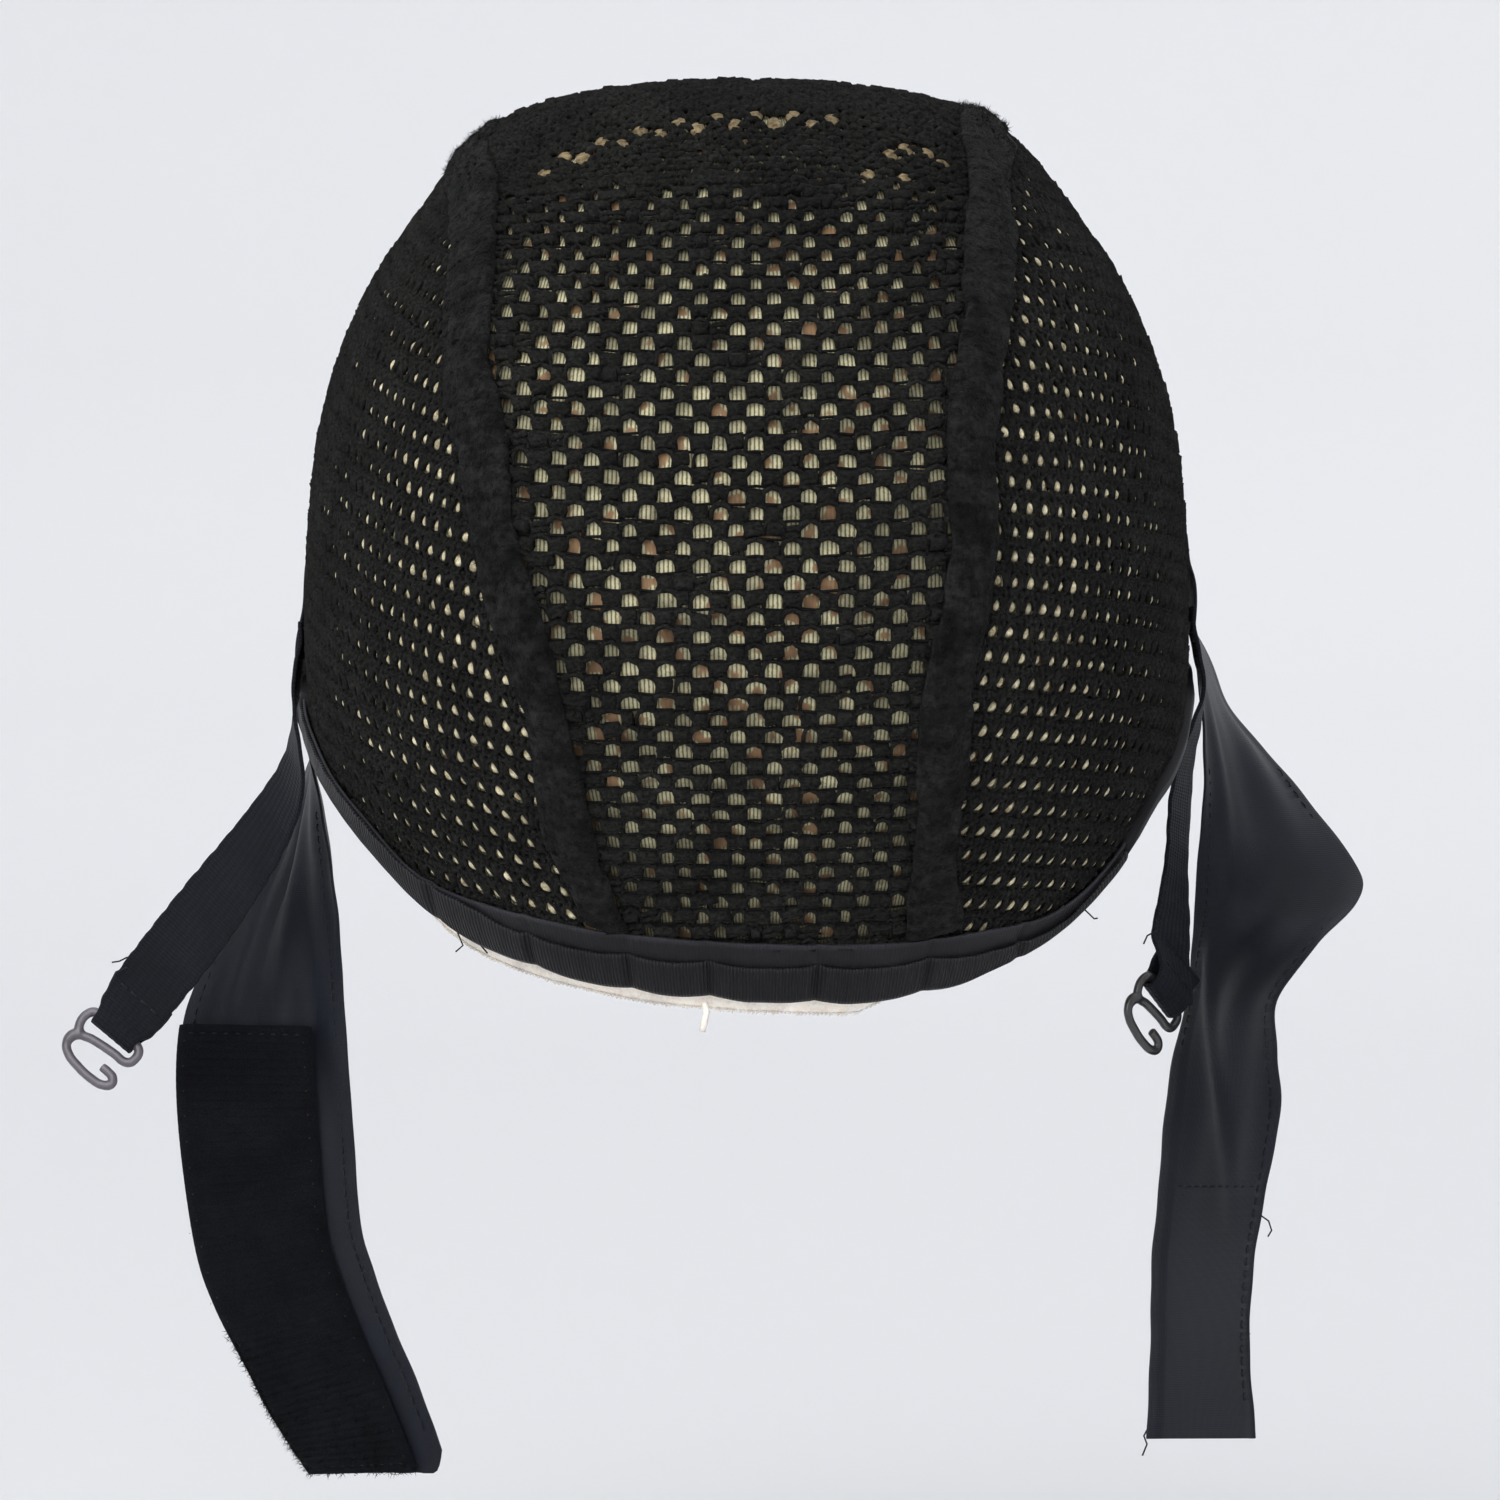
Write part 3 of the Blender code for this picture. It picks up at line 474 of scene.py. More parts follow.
def repeat(piece, columns, rows, pitch, spacing):
    """Copies in rows and columns, all in one mesh, each copy's points together."""
    for count, shift in ((columns, (pitch * MM, 0, 0)), (rows, (0, spacing * MM, 0))):
        array = piece.modifiers.new("array", "ARRAY")
        array.count = count
        array.use_relative_offset = False
        array.use_constant_offset = True
        array.constant_offset_displace = shift
        only(piece)
        bpy.ops.object.modifier_apply(modifier=array.name)


# %% Read and move a mesh's points together
def points_of(piece):
    flat = np.empty(len(piece.data.vertices) * 3)
    piece.data.vertices.foreach_get("co", flat)
    return flat.reshape(-1, 3) / MM


def move_points(piece, points):
    piece.data.vertices.foreach_set("co", (np.asarray(points) * MM).ravel())
    piece.data.update()


def drop_points(piece, unwanted):
    """Delete the marked points, with their faces."""
    edit(piece)
    leave_edit()
    piece.data.vertices.foreach_set("select", unwanted)
    bpy.ops.object.mode_set(mode="EDIT")
    bpy.ops.mesh.delete(type="VERT")
    leave_edit()


def triangles(piece):
    return sum(len(face.vertices) - 2 for face in piece.data.polygons)


WAVE_SIZES = (0.6, 1.6)
WAVE_GAIN = 1.4


def waves(points, size, seed, count=5):
    """A smooth unevenness from -1 to 1: a few sine waves that run in different ways."""
    dice = np.random.default_rng(seed)
    total = np.zeros(len(points))
    for _ in range(count):
        way = unit(dice.normal(size=3))
        stretch = size * dice.uniform(*WAVE_SIZES)
        total += np.sin(points @ way * math.tau / stretch + dice.uniform(0, math.tau))
    return total / count * WAVE_GAIN


# %% [markdown]
# ## The middle panel's stitch
# The net is knitted in bricks: a loaf-shaped hole with a flat foot and an arched top, then a
# dark bobble of the same width, and each row is set half a step along from the one below. One
# strand arches over the hole. Two short fat strands, twisted a little, fill the bobble beside
# it, and a thicker one backs them. The stitch is drawn flat, about the middle of its hole.

# %% Draw one stitch of the middle panel
CENTRE_PITCH = 6.4
CENTRE_ROW = 3.1
ARCH_THICK = 1.05
BOBBLE_THICK = 1.2
BACKING_THICK = 2.8

arch = yarn(
    (
        (-1.95, -1.55, -0.1),
        (-2.0, -0.1, 0.1),
        (-1.5, 1.1, 0.25),
        (0.0, 1.72, 0.3),
        (1.5, 1.1, 0.25),
        (2.0, -0.1, 0.1),
        (1.95, -1.55, -0.1),
    ),
    ARCH_THICK,
)
lower_bobble = yarn(
    ((2.1, -0.95, 0.0), (2.7, -0.7, 0.5), (3.2, -0.55, 0.15), (3.75, -0.55, 0.55), (4.3, -0.5, 0.1)),
    BOBBLE_THICK,
)
upper_bobble = yarn(
    ((2.1, 0.25, 0.05), (2.7, 0.45, 0.6), (3.3, 0.65, 0.2), (3.8, 0.7, 0.55), (4.3, 0.85, 0.05)),
    BOBBLE_THICK,
)
back_bobble = yarn(((1.7, 0.2, -0.15), (4.7, 0.2, -0.15)), BACKING_THICK)
back_points = points_of(back_bobble)
stitch = join("centre_knit", [arch, lower_bobble, upper_bobble, back_bobble])
print("one stitch has", triangles(stitch), "triangles")

# %% [markdown]
# ## Cloth and yarn finishes
# Each finish is a Principled shader whose colour runs between two shades of the same yarn, in
# specks as fine as the fibres. The same specks raise a bump. A second, broader noise makes the
# cloth a little darker and lighter from place to place. A woven cloth adds ribs that follow its
# own UV map, counted along it, and paints shade into the grooves between them. The specks read
# Object coordinates, so they don't stretch.

# %% Mix a cloth finish
Ribs = namedtuple("Ribs", "axis count height shade")


def add_node(material, kind, **values):
    made = material.node_tree.nodes.new(kind)
    for name, value in values.items():
        if hasattr(made, name):
            setattr(made, name, value)
        else:
            made.inputs[name.replace("_", " ")].default_value = value
    return made


def tie(material, source, output, target, socket):
    material.node_tree.links.new(source.outputs[output], target.inputs[socket])


def specks(material, size, detail=3.0, roughness=0.6):
    """Noise whose patches are about this many millimetres wide."""
    place = add_node(material, "ShaderNodeTexCoord")
    noise = add_node(material, "ShaderNodeTexNoise", Scale=1 / (size * MM), Detail=detail)
    noise.inputs["Roughness"].default_value = roughness
    tie(material, place, "Object", noise, "Vector")
    return noise


def ramp(material, source, output, stops):
    """Colours or greys at places from 0 to 1."""
    made = material.node_tree.nodes.new("ShaderNodeValToRGB")
    made.color_ramp.elements[0].position = stops[0][0]
    made.color_ramp.elements[1].position = stops[-1][0]
    made.color_ramp.elements[0].color = (*stops[0][1], 1)
    made.color_ramp.elements[1].color = (*stops[-1][1], 1)
    for place, colour in stops[1:-1]:
        made.color_ramp.elements.new(place).color = (*colour, 1)
    tie(material, source, output, made, "Fac")
    return made


def rib_wave(material, ribs):
    """A wave from 0 to 1 that is counted along one axis of the UV map."""
    place = add_node(material, "ShaderNodeTexCoord")
    parts = add_node(material, "ShaderNodeSeparateXYZ")
    tie(material, place, "UV", parts, "Vector")
    turned = add_node(material, "ShaderNodeMath", operation="MULTIPLY")
    turned.inputs[1].default_value = ribs.count * math.tau
    tie(material, parts, ribs.axis, turned, 0)
    wave = add_node(material, "ShaderNodeMath", operation="SINE")
    tie(material, turned, "Value", wave, 0)
    raised = add_node(material, "ShaderNodeMath", operation="MULTIPLY_ADD")
    raised.inputs[1].default_value = 0.5
    raised.inputs[2].default_value = 0.5
    tie(material, wave, "Value", raised, 0)
    return raised


MIXED = 2
FIRST_COLOUR = 6
SECOND_COLOUR = 7


def mix(material, share, first, second):
    """A blend. The share and both colours are each given as a node and its output's name."""
    made = add_node(material, "ShaderNodeMix", data_type="RGBA")
    tie(material, *share, made, 0)
    tie(material, *first, made, FIRST_COLOUR)
    tie(material, *second, made, SECOND_COLOUR)
    return made


def multiply(material, first, second):
    """A colour darkened by another one."""
    made = add_node(material, "ShaderNodeMix", data_type="RGBA", blend_type="MULTIPLY")
    made.inputs[0].default_value = 1.0
    tie(material, *first, made, FIRST_COLOUR)
    tie(material, *second, made, SECOND_COLOUR)
    return made


def grey(value):
    return (value, value, value)


def add_bump(material, shader, source, output, height, strength, earlier=None):
    bump = add_node(material, "ShaderNodeBump", Strength=strength, Distance=height * MM)
    tie(material, source, output, bump, "Height")
    if earlier is not None:
        tie(material, earlier, "Normal", bump, "Normal")
    tie(material, bump, "Normal", shader, "Normal")
    return bump


DARK_UNTIL = 0.3
LIGHT_FROM = 0.7
FIBRE_BUMP = 0.9
RIB_BUMP = 0.8


def cloth(
    name, dark, light, roughness, grain, height, sheen=0.0, ribs=(),
    broad=18.0, shine=0.06, uneven=(0.72, 1.25),
):
    """A cloth whose colour and bump come from fibres this many millimetres wide."""
    material = bpy.data.materials.new(name)
    material.use_nodes = True
    shader = material.node_tree.nodes["Principled BSDF"]
    shader.inputs["Roughness"].default_value = roughness
    shader.inputs["Sheen Weight"].default_value = sheen
    shader.inputs["Sheen Roughness"].default_value = 0.6
    shader.inputs["Specular IOR Level"].default_value = shine
    fibres = specks(material, grain, detail=4.0, roughness=0.7)
    colour = ramp(material, fibres, "Fac", ((DARK_UNTIL, dark), (LIGHT_FROM, light)))
    patches = specks(material, broad, detail=2.0)
    shades = ((DARK_UNTIL, grey(uneven[0])), (LIGHT_FROM, grey(uneven[1])))
    shade = ramp(material, patches, "Fac", shades)
    colour = multiply(material, (colour, "Color"), (shade, "Color"))
    bump = add_bump(material, shader, fibres, "Fac", height, FIBRE_BUMP)
    for rib in ribs:
        wave = rib_wave(material, rib)
        bump = add_bump(material, shader, wave, "Value", rib.height, RIB_BUMP, bump)
        # Painted shade: the colour is darkened in each rib's groove, by the rib's shade.
        groove = ramp(material, wave, "Value", ((0.0, grey(1 - rib.shade)), (1.0, grey(1.0))))
        colour = multiply(material, (colour, MIXED), (groove, "Color"))
    tie(material, colour, MIXED, shader, "Base Color")
    return material


net_yarn = cloth("black net yarn", (0.001, 0.001, 0.001), (0.03, 0.0295, 0.027), 0.8, 0.75, 0.9, 0.02)
net_thread = cloth("black net thread", (0.002, 0.002, 0.002), (0.014, 0.014, 0.013), 0.8, 0.5, 0.2, 0.02)
print("finishes:", net_yarn.name, net_thread.name)

# %% Finish a piece
def finish_piece(piece, material, slot, *nodes):
    """One finish all over, smooth faces, and the piece hung under the root. The slot is not used."""
    piece.data.materials.clear()
    piece.data.materials.append(material)
    only(piece)
    bpy.ops.object.shade_smooth()
    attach(piece, "root")
    if nodes:
        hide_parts(*nodes)
    print(piece.name, "has", triangles(piece), "triangles")
    return piece


# %% [markdown]
# ## The middle panel
# The stitch is doubled into a brick, and two array modifiers repeat it over the whole panel, still
# flat. Each copy is then shifted, turned and stretched a little, because no two hand-stretched
# stitches are alike. Last, the flat net is laid on the form. Across the back its rows run level
# and lift a little at the edges. Over the crown they follow the turn instead.

# %% Measure the way over the crown
TURN_LIMITS = (-50.0, 168.0)
ROW_SAG = 1.5
SAG_AT = 45.0
LEVEL_UNTIL_TURN = 35.0
TURNED_FROM = 60.0
TURN_COUNT = 437
HIGHEST_DROP = 1.0
LOWEST_DROP = 184.0
OUTERMOST = 0.995

turns = np.linspace(*TURN_LIMITS, TURN_COUNT)
middle_line = at_turn(np.zeros(len(turns)), turns)
steps = np.linalg.norm(np.diff(middle_line, axis=0), axis=1)
run_up = np.concatenate(([0.0], np.cumsum(steps)))
print("the middle panel runs", round(run_up[-1]), "mm from nape to front")


def lay_centre(across, run, lift):
    """Points of the middle panel at a distance from the middle and a run up from the nape."""
    turn = np.interp(run, run_up, turns)
    over = at_turn(across, turn)
    height = np.interp(run, run_up, middle_line[:, 2]) + ROW_SAG * (across / SAG_AT) ** 2
    drop = np.clip(CROWN_HEIGHT - height, HIGHEST_DROP, LOWEST_DROP)
    half_width = np.interp(drop, LEVELS[:, 0], LEVELS[:, 1])
    back = np.interp(drop, LEVELS[:, 0], LEVELS[:, 2])
    inside = 1 - np.minimum(np.abs(across) / half_width, OUTERMOST) ** SQUARENESS
    level = np.stack((across, -back * inside ** (1 / SQUARENESS), CROWN_HEIGHT - drop), axis=1)
    share = np.clip((turn - LEVEL_UNTIL_TURN) / (TURNED_FROM - LEVEL_UNTIL_TURN), 0, 1)
    share = (share * share * (3 - 2 * share))[:, None]
    return lifted(over * share + level * (1 - share), lift)


# %% Repeat the stitch in bricks
def copy_at(piece, x, y):
    start_clean()
    only(piece)
    bpy.ops.object.duplicate()
    bpy.ops.transform.translate(value=(x * MM, y * MM, 0))
    bpy.ops.object.transform_apply(location=True, rotation=False, scale=False)
    return bpy.context.object


CENTRE_COLUMNS = 17
pairs = math.ceil(run_up[-1] / (2 * CENTRE_ROW)) + 1
points_each = len(stitch.data.vertices)
brick = copy_at(stitch, CENTRE_PITCH / 2, CENTRE_ROW)
centre_knit = join("centre_knit", [stitch, brick])
repeat(centre_knit, CENTRE_COLUMNS, pairs, CENTRE_PITCH, 2 * CENTRE_ROW)
print(len(centre_knit.data.vertices) // points_each, "stitches")

# %% Choose where the net is closed
CLOSED_DROP = 25.0
CLOSED_WAVE = 1.6
HALF_OPEN_DROP = 46.0
OPEN_DROP = 68.0
CLOSED_HOLES = 0.55
HALF_OPEN_HOLES = 0.8
NAPE_HOLES = 0.74
TAPE_HOLES = 0.85
TAPE_CLEAR = 2.0
TAPE_SHRINKS = 7.0
BAND_SHRINKS = 32.0
HOLE_WAVE = 0.08
HOLE_WAVE_LENGTH = 40.0
HOLE_JITTER = 0.1
PLACE_JITTER = 0.14
TURN_JITTER = 0.06


def smooth_step(low, high, value):
    share = np.clip((value - low) / (high - low), 0, 1)
    return share * share * (3 - 2 * share)


def crumple(local, dice, amount=0.1):
    """Every point of every stitch is moved a little, because yarn is hairy and never round."""
    return local + amount * dice.normal(size=local.shape)


def stitch_blocks(piece, each):
    """Each stitch's points, measured from the middle of its own hole, and those middles."""
    blocks = points_of(piece).reshape(-1, each, 3)
    first = blocks[0].mean(axis=0)
    middles = blocks.mean(axis=1) - first
    return blocks - middles[:, None], middles


CLOSED_FROM_TURN = 95
CLOSED_WAVE_LENGTH = 30.0


def copies_of(piece, count):
    """Copies in one mesh, to be placed one by one, with each copy's own points."""
    each = len(piece.data.vertices)
    repeat(piece, count, 1, 1.0, 1.0)
    return stitch_blocks(piece, each)[0]


def is_closed(points, turn, more=0.0):
    """Over the crown and the front the net is not stretched, and shows no holes."""
    line = CLOSED_DROP + CLOSED_WAVE * waves(points, CLOSED_WAVE_LENGTH, 5)
    return (drop_of(points) < line + more) | (turn > CLOSED_FROM_TURN)


local, middles = stitch_blocks(centre_knit, points_each)
middles[:, 0] -= CENTRE_PITCH * (CENTRE_COLUMNS - 0.5) / 2
turn = np.interp(middles[:, 1], run_up, turns)
laid = lay_centre(middles[:, 0], middles[:, 1], 0.0)
drop = drop_of(laid)
from_seam = from_seams(middles[:, 0], turn)

# %% Stretch each hole a little differently
dice = np.random.default_rng(11)
holes = np.interp(drop, (CLOSED_DROP, HALF_OPEN_DROP, OPEN_DROP), (CLOSED_HOLES, HALF_OPEN_HOLES, 1.0))
beside_tape = smooth_step(TAPE_CLEAR, TAPE_CLEAR + TAPE_SHRINKS, from_seam)
holes *= TAPE_HOLES + (1 - TAPE_HOLES) * beside_tape
holes *= 1 + HOLE_JITTER * dice.normal(size=len(holes)) + HOLE_WAVE * waves(laid, HOLE_WAVE_LENGTH, 3)
satin_line = satin_top(around_of(laid))
above_band = satin_line - drop
holes *= NAPE_HOLES + (1 - NAPE_HOLES) * smooth_step(0.0, BAND_SHRINKS, above_band)
print("holes are stretched from", holes.min().round(2), "to", holes.max().round(2))

# %% [markdown]
# Here and there a hole is shut by a bobble of its own, most often beside the tapes and where the
# closed crown begins. The strand that backs the bobble beside such a hole is moved into the hole
# and brought forward, so a shut stitch costs nothing extra.

# %% Shut some of the holes
FILLED_FORWARD = 0.4
SHUT_BESIDE_CROWN = 0.35
SHUT_BESIDE_TAPE = 0.35
SHUT_ABOVE_BAND = 0.5
SHUT_ANYWHERE = 0.02
CROWN_FADE = 12
BAND_FADE = (2.0, 7.0)
near_crown = 1 - smooth_step(CLOSED_DROP, CLOSED_DROP + CROWN_FADE, drop)
near_band = 1 - smooth_step(*BAND_FADE, above_band)
shut_chance = np.maximum(SHUT_BESIDE_CROWN * near_crown, SHUT_BESIDE_TAPE * (1 - beside_tape))
shut_chance = np.maximum(shut_chance, SHUT_ABOVE_BAND * near_band)
shut = dice.random(len(holes)) < np.maximum(shut_chance, SHUT_ANYWHERE)
is_back = np.array([np.abs(back_points - point).sum(axis=1).min() < 0.001 for point in local[0]])
moved = np.where(is_back[:, None], (-CENTRE_PITCH / 2, -0.1, FILLED_FORWARD), 0.0)
local[shut] += moved
print(int(shut.sum()), "holes are shut")

# %% Open or close the holes and lay the panel
def stretch_holes(local, holes, half_hole, half_pitch):
    """Widen or narrow each hole, and let the bobble beside it give way."""
    x = local[..., 0]
    holes = holes[:, None]
    in_hole = x * holes
    room = (half_pitch - half_hole * holes) / (half_pitch - half_hole)
    beside = half_pitch + (x - half_pitch) * room
    stretched = local.copy()
    stretched[..., 0] = np.where(x > half_hole, beside, in_hole)
    return stretched


def turn_stitches(local, angles):
    cosine = np.cos(angles)[:, None]
    sine = np.sin(angles)[:, None]
    turned = local.copy()
    turned[..., 0] = local[..., 0] * cosine - local[..., 1] * sine
    turned[..., 1] = local[..., 0] * sine + local[..., 1] * cosine
    return turned


NET_MIDDLE = -0.75
HALF_HOLE = 2.0
STITCH_DEPTHS = (0.8, 1.25)
CLOSED_OVERLAP = -1.0
PANEL_UNDER_TAPE = 1.5
PANEL_UNDER_SATIN = 3.0
local = crumple(stretch_holes(local, holes, HALF_HOLE, CENTRE_PITCH / 2), dice)
local = turn_stitches(local, TURN_JITTER * dice.normal(size=len(local)))
shifts = PLACE_JITTER * dice.normal(size=(len(local), 1, 2))
local[..., :2] += shifts
local[..., 2] *= dice.uniform(*STITCH_DEPTHS, size=(len(local), 1))
flat = (local + middles[:, None] * (1, 1, 0)).reshape(-1, 3)
move_points(centre_knit, lay_centre(flat[:, 0], flat[:, 1], NET_MIDDLE + flat[:, 2]))

past_seams = from_seam < -PANEL_UNDER_TAPE
past_band = drop > satin_line + PANEL_UNDER_SATIN
unwanted = past_seams | past_band | is_closed(laid, turn, CLOSED_OVERLAP)
drop_points(centre_knit, np.repeat(unwanted, points_each))
finish_piece(centre_knit, net_yarn, "black_knit", "centre_panel")

# %% [markdown]
# A thin, nearly straight thread runs along the foot of every row of holes and holds the bricks.
# It makes each hole's flat foot, so it is one long strand for each row, right across the panel.

# %% Run a thread along each row
THREAD_FOOT = -1.55
THREAD_THICK = 0.55
THREAD_STEP = 2.1
THREAD_REACH = 53.0
THREAD_UNDER_TAPE = 1.0
THREAD_WAVE = 0.15
THREAD_WAVE_RATE = 0.9

knots = np.arange(-THREAD_REACH, THREAD_REACH, THREAD_STEP)
thread = yarn([(knot, THREAD_FOOT, 0.0) for knot in knots], THREAD_THICK)
repeat(thread, 1, 2 * pairs, 0, CENTRE_ROW)
flat = points_of(thread)
flat[:, 1] += THREAD_WAVE * np.sin(flat[:, 0] * THREAD_WAVE_RATE)
places = lay_centre(flat[:, 0], flat[:, 1], NET_MIDDLE + flat[:, 2])
move_points(thread, places)
turn = np.interp(flat[:, 1], run_up, turns)
past_seams = from_seams(flat[:, 0], turn) < -THREAD_UNDER_TAPE
past_band = drop_of(places) > satin_top(around_of(places)) + PANEL_UNDER_SATIN
drop_points(thread, past_seams | past_band | is_closed(places, turn, CLOSED_OVERLAP))
edit(thread, "EDGE")
bpy.ops.mesh.select_all(action="SELECT")
bpy.ops.mesh.region_to_loop()
bpy.ops.mesh.edge_face_add()
leave_edit()
thread.name = "centre_threads"
finish_piece(thread, net_thread, "black_knit")

# %% [markdown]
# ## The closed crown
# Over the crown the net is not stretched, so its rows close up and only their small bumps show,
# side by side like beads. One bump is a short bent strand. An arc of wide holes runs across the
# crown, and the liner swells up through each of them as a small pad. The bumps leave room there.

# %% Place the wide holes of the crown
Spot = namedtuple("Spot", "across drop")
ARC_MIDDLE = 5.0
ARC_DROP = 11.0
ARC_CURVE = 0.0053
ARC_ZIGZAG = 0.9
ARC_STEP = 3.5
ARC_FROM = -37.0
ARC_TO = 19.0
EXTRA_SPOTS = (
    Spot(26.2, 18.0),
    Spot(29.1, 16.6),
    Spot(33.0, 17.2),
    Spot(35.8, 19.4),
    Spot(22.0, 22.6),
    Spot(28.6, 23.2),
)
arc_across = np.arange(ARC_FROM, ARC_TO, ARC_STEP)
zigzag = ARC_ZIGZAG * (-1.0) ** np.arange(len(arc_across))
arc_drop = ARC_DROP + ARC_CURVE * (arc_across - ARC_MIDDLE) ** 2 + zigzag
spots = [Spot(*place) for place in zip(arc_across, arc_drop)] + list(EXTRA_SPOTS)


def run_at(spot):
    """The run up the middle panel at which the net's back lies at a spot's drop."""
    runs = np.linspace(run_up[0], np.interp(90, turns, run_up), 400)
    drops = drop_of(lay_centre(np.full(len(runs), spot.across), runs, 0.0))
    return np.interp(-spot.drop, -drops, runs)


holes_at = np.array([(spot.across, run_at(spot)) for spot in spots])
print(len(holes_at), "wide holes in the crown")

# %% Cover the crown with small bumps
PURL_PITCH = 2.7
PURL_ROW = 2.1
PURL_THICK = 1.8
PURL_TURNS = 0.1
PURL_SHIFTS = 0.1
PURL_SIZES = (0.85, 1.15)
PURL_LIFTS = (-0.25, 0.4)
HOLE_ACROSS = 1.45
HOLE_ALONG = 2.7

purl = yarn(((-1.5, -0.45, -0.75), (-0.6, 0.25, 0.2), (0.6, 0.25, 0.2), (1.5, -0.45, -0.75)), PURL_THICK)
purl_each = len(purl.data.vertices)
purl_brick = copy_at(purl, PURL_PITCH / 2, PURL_ROW)
crown_knit = join("crown_knit", [purl, purl_brick])
purl_columns = math.ceil(2 * THREAD_REACH / PURL_PITCH)
repeat(crown_knit, purl_columns, math.ceil(run_up[-1] / PURL_ROW / 2), PURL_PITCH, 2 * PURL_ROW)
local, middles = stitch_blocks(crown_knit, purl_each)
middles[:, 0] -= THREAD_REACH
turn = np.interp(middles[:, 1], run_up, turns)
dice = np.random.default_rng(13)
local = crumple(turn_stitches(local, PURL_TURNS * dice.normal(size=len(local))), dice)
local *= dice.uniform(*PURL_SIZES, size=(len(local), 1, 3))
local[..., :2] += PURL_SHIFTS * dice.normal(size=(len(local), 1, 2))
local[..., 2] += dice.uniform(*PURL_LIFTS, size=(len(local), 1))
flat = (local + middles[:, None] * (1, 1, 0)).reshape(-1, 3)
move_points(crown_knit, lay_centre(flat[:, 0], flat[:, 1], NET_MIDDLE + flat[:, 2]))
laid = lay_centre(middles[:, 0], middles[:, 1], 0.0)
past_seams = from_seams(middles[:, 0], turn) < -PANEL_UNDER_TAPE
past_band = drop_of(laid) > satin_top(around_of(laid)) + PANEL_UNDER_SATIN
gaps = (middles[:, None, :2] - holes_at) / (HOLE_ACROSS, HOLE_ALONG)
in_hole = (np.hypot(gaps[..., 0], gaps[..., 1]) < 1).any(axis=1)
unwanted = past_seams | ~is_closed(laid, turn) | in_hole | past_band
drop_points(crown_knit, np.repeat(unwanted, purl_each))
finish_piece(crown_knit, net_yarn, "black_knit")

# %% [markdown]
# ## The side panels' stitch
# The side panels show the same net pulled the other way. Their holes stand in columns and are
# pointed at the top, like a tent, and a band of slanting strands lies between one row of holes
# and the next. One stitch is the tent over a hole, with three strands of that band above it.
# One thick strand fills the column beside the hole, and another one backs the band.

# %% Draw one stitch of a side panel
SIDE_PITCH = 3.5
SIDE_ROW = 4.5
TENT_THICK = 1.0
FILLER_THICK = 1.7

tent = yarn(
    (
        (-0.2, -1.8, -0.1),
        (-1.2, -1.45, 0.0),
        (-1.42, -0.5, 0.15),
        (-0.95, 0.75, 0.25),
        (0.0, 1.75, 0.25),
        (0.95, 0.75, 0.25),
        (1.42, -0.5, 0.15),
        (1.2, -1.45, 0.0),
        (0.2, -1.8, -0.1),
    ),
    TENT_THICK,
)
filler = yarn(((1.75, -0.9, -0.15), (1.75, 2.3, -0.15)), FILLER_THICK)
braid = [yarn(((x, 1.5, 0.1), (x + 0.6, 2.9, 0.35)), TENT_THICK) for x in (-1.75, -0.6, 0.55)]
braid_back = yarn(((-1.9, 2.25, -0.25), (1.9, 2.25, -0.25)), FILLER_THICK)
side_stitch = join("side_knit", [tent, filler, *braid, braid_back])
print("one side stitch has", triangles(side_stitch), "triangles")

# %% [markdown]
# ## The side panels
# The stitch is repeated flat, the whole net is turned by the slope of its rows, and it is laid
# on the form by the angle around and by the way down from the crown. The right panel's rows run
# nearly level. The left panel was sewn in at a slant, so its rows climb towards the seam.

# %% Measure the way down the side
SIDE_COLUMNS = 70
SIDE_ROWS = 58
SIDE_LINE = 60.0
side_drops = np.linspace(3.0, LOWEST_DROP, 363)
side_line = at_drop(np.full(len(side_drops), SIDE_LINE), side_drops)
side_steps = np.linalg.norm(np.diff(side_line, axis=0), axis=1)
run_down = np.concatenate(([0.0], np.cumsum(side_steps)))


def lay_side(side, along, down, lift, above_rim=None):
    """Points of a side panel: a distance forward of the middle of the side, and a run down."""
    drop = np.interp(down, run_down, side_drops)
    half_width = np.interp(drop, LEVELS[:, 0], LEVELS[:, 1])
    depth = np.interp(drop, LEVELS[:, 0], LEVELS[:, 2] + LEVELS[:, 3]) / 2
    around = side * (90 + np.degrees(along / ((half_width + depth) / 2)))
    if above_rim is not None:
        drop = np.minimum(drop, rim_drop(around) - above_rim)
    return at_drop(around, drop, lift)


# %% Lay both side panels
SIDE_SLOPES = {-1: 17.0, 1: -3.0}
SIDE_MIDDLE_DOWN = 100.0
SIDE_UNDER_SATIN = 4.3
SIDE_UNDER_TAPE = 0.5
SIDE_ABOVE_RIM = 1.2
SIDE_BACK_END = -115
SIDE_FRONT_END = 110
SIDE_TOP = 3
SIDE_INNER_END = 30
SIDE_CRUMPLE = 0.08
SIDE_TURNS = 0.06
SIDE_SHIFTS = 0.12
SIDE_WIDTHS = (0.92, 1.05)
SIDE_LIFTS = (-0.2, 0.25)
NET_ABOVE_RIM = 0.9


def turn_flat(flat, slope):
    """A flat net's points turned by the slope of its rows, as a way forward and a way down."""
    along = flat[:, 0] * math.cos(slope) + flat[:, 1] * math.sin(slope)
    up = flat[:, 1] * math.cos(slope) - flat[:, 0] * math.sin(slope)
    return -along, SIDE_MIDDLE_DOWN - up


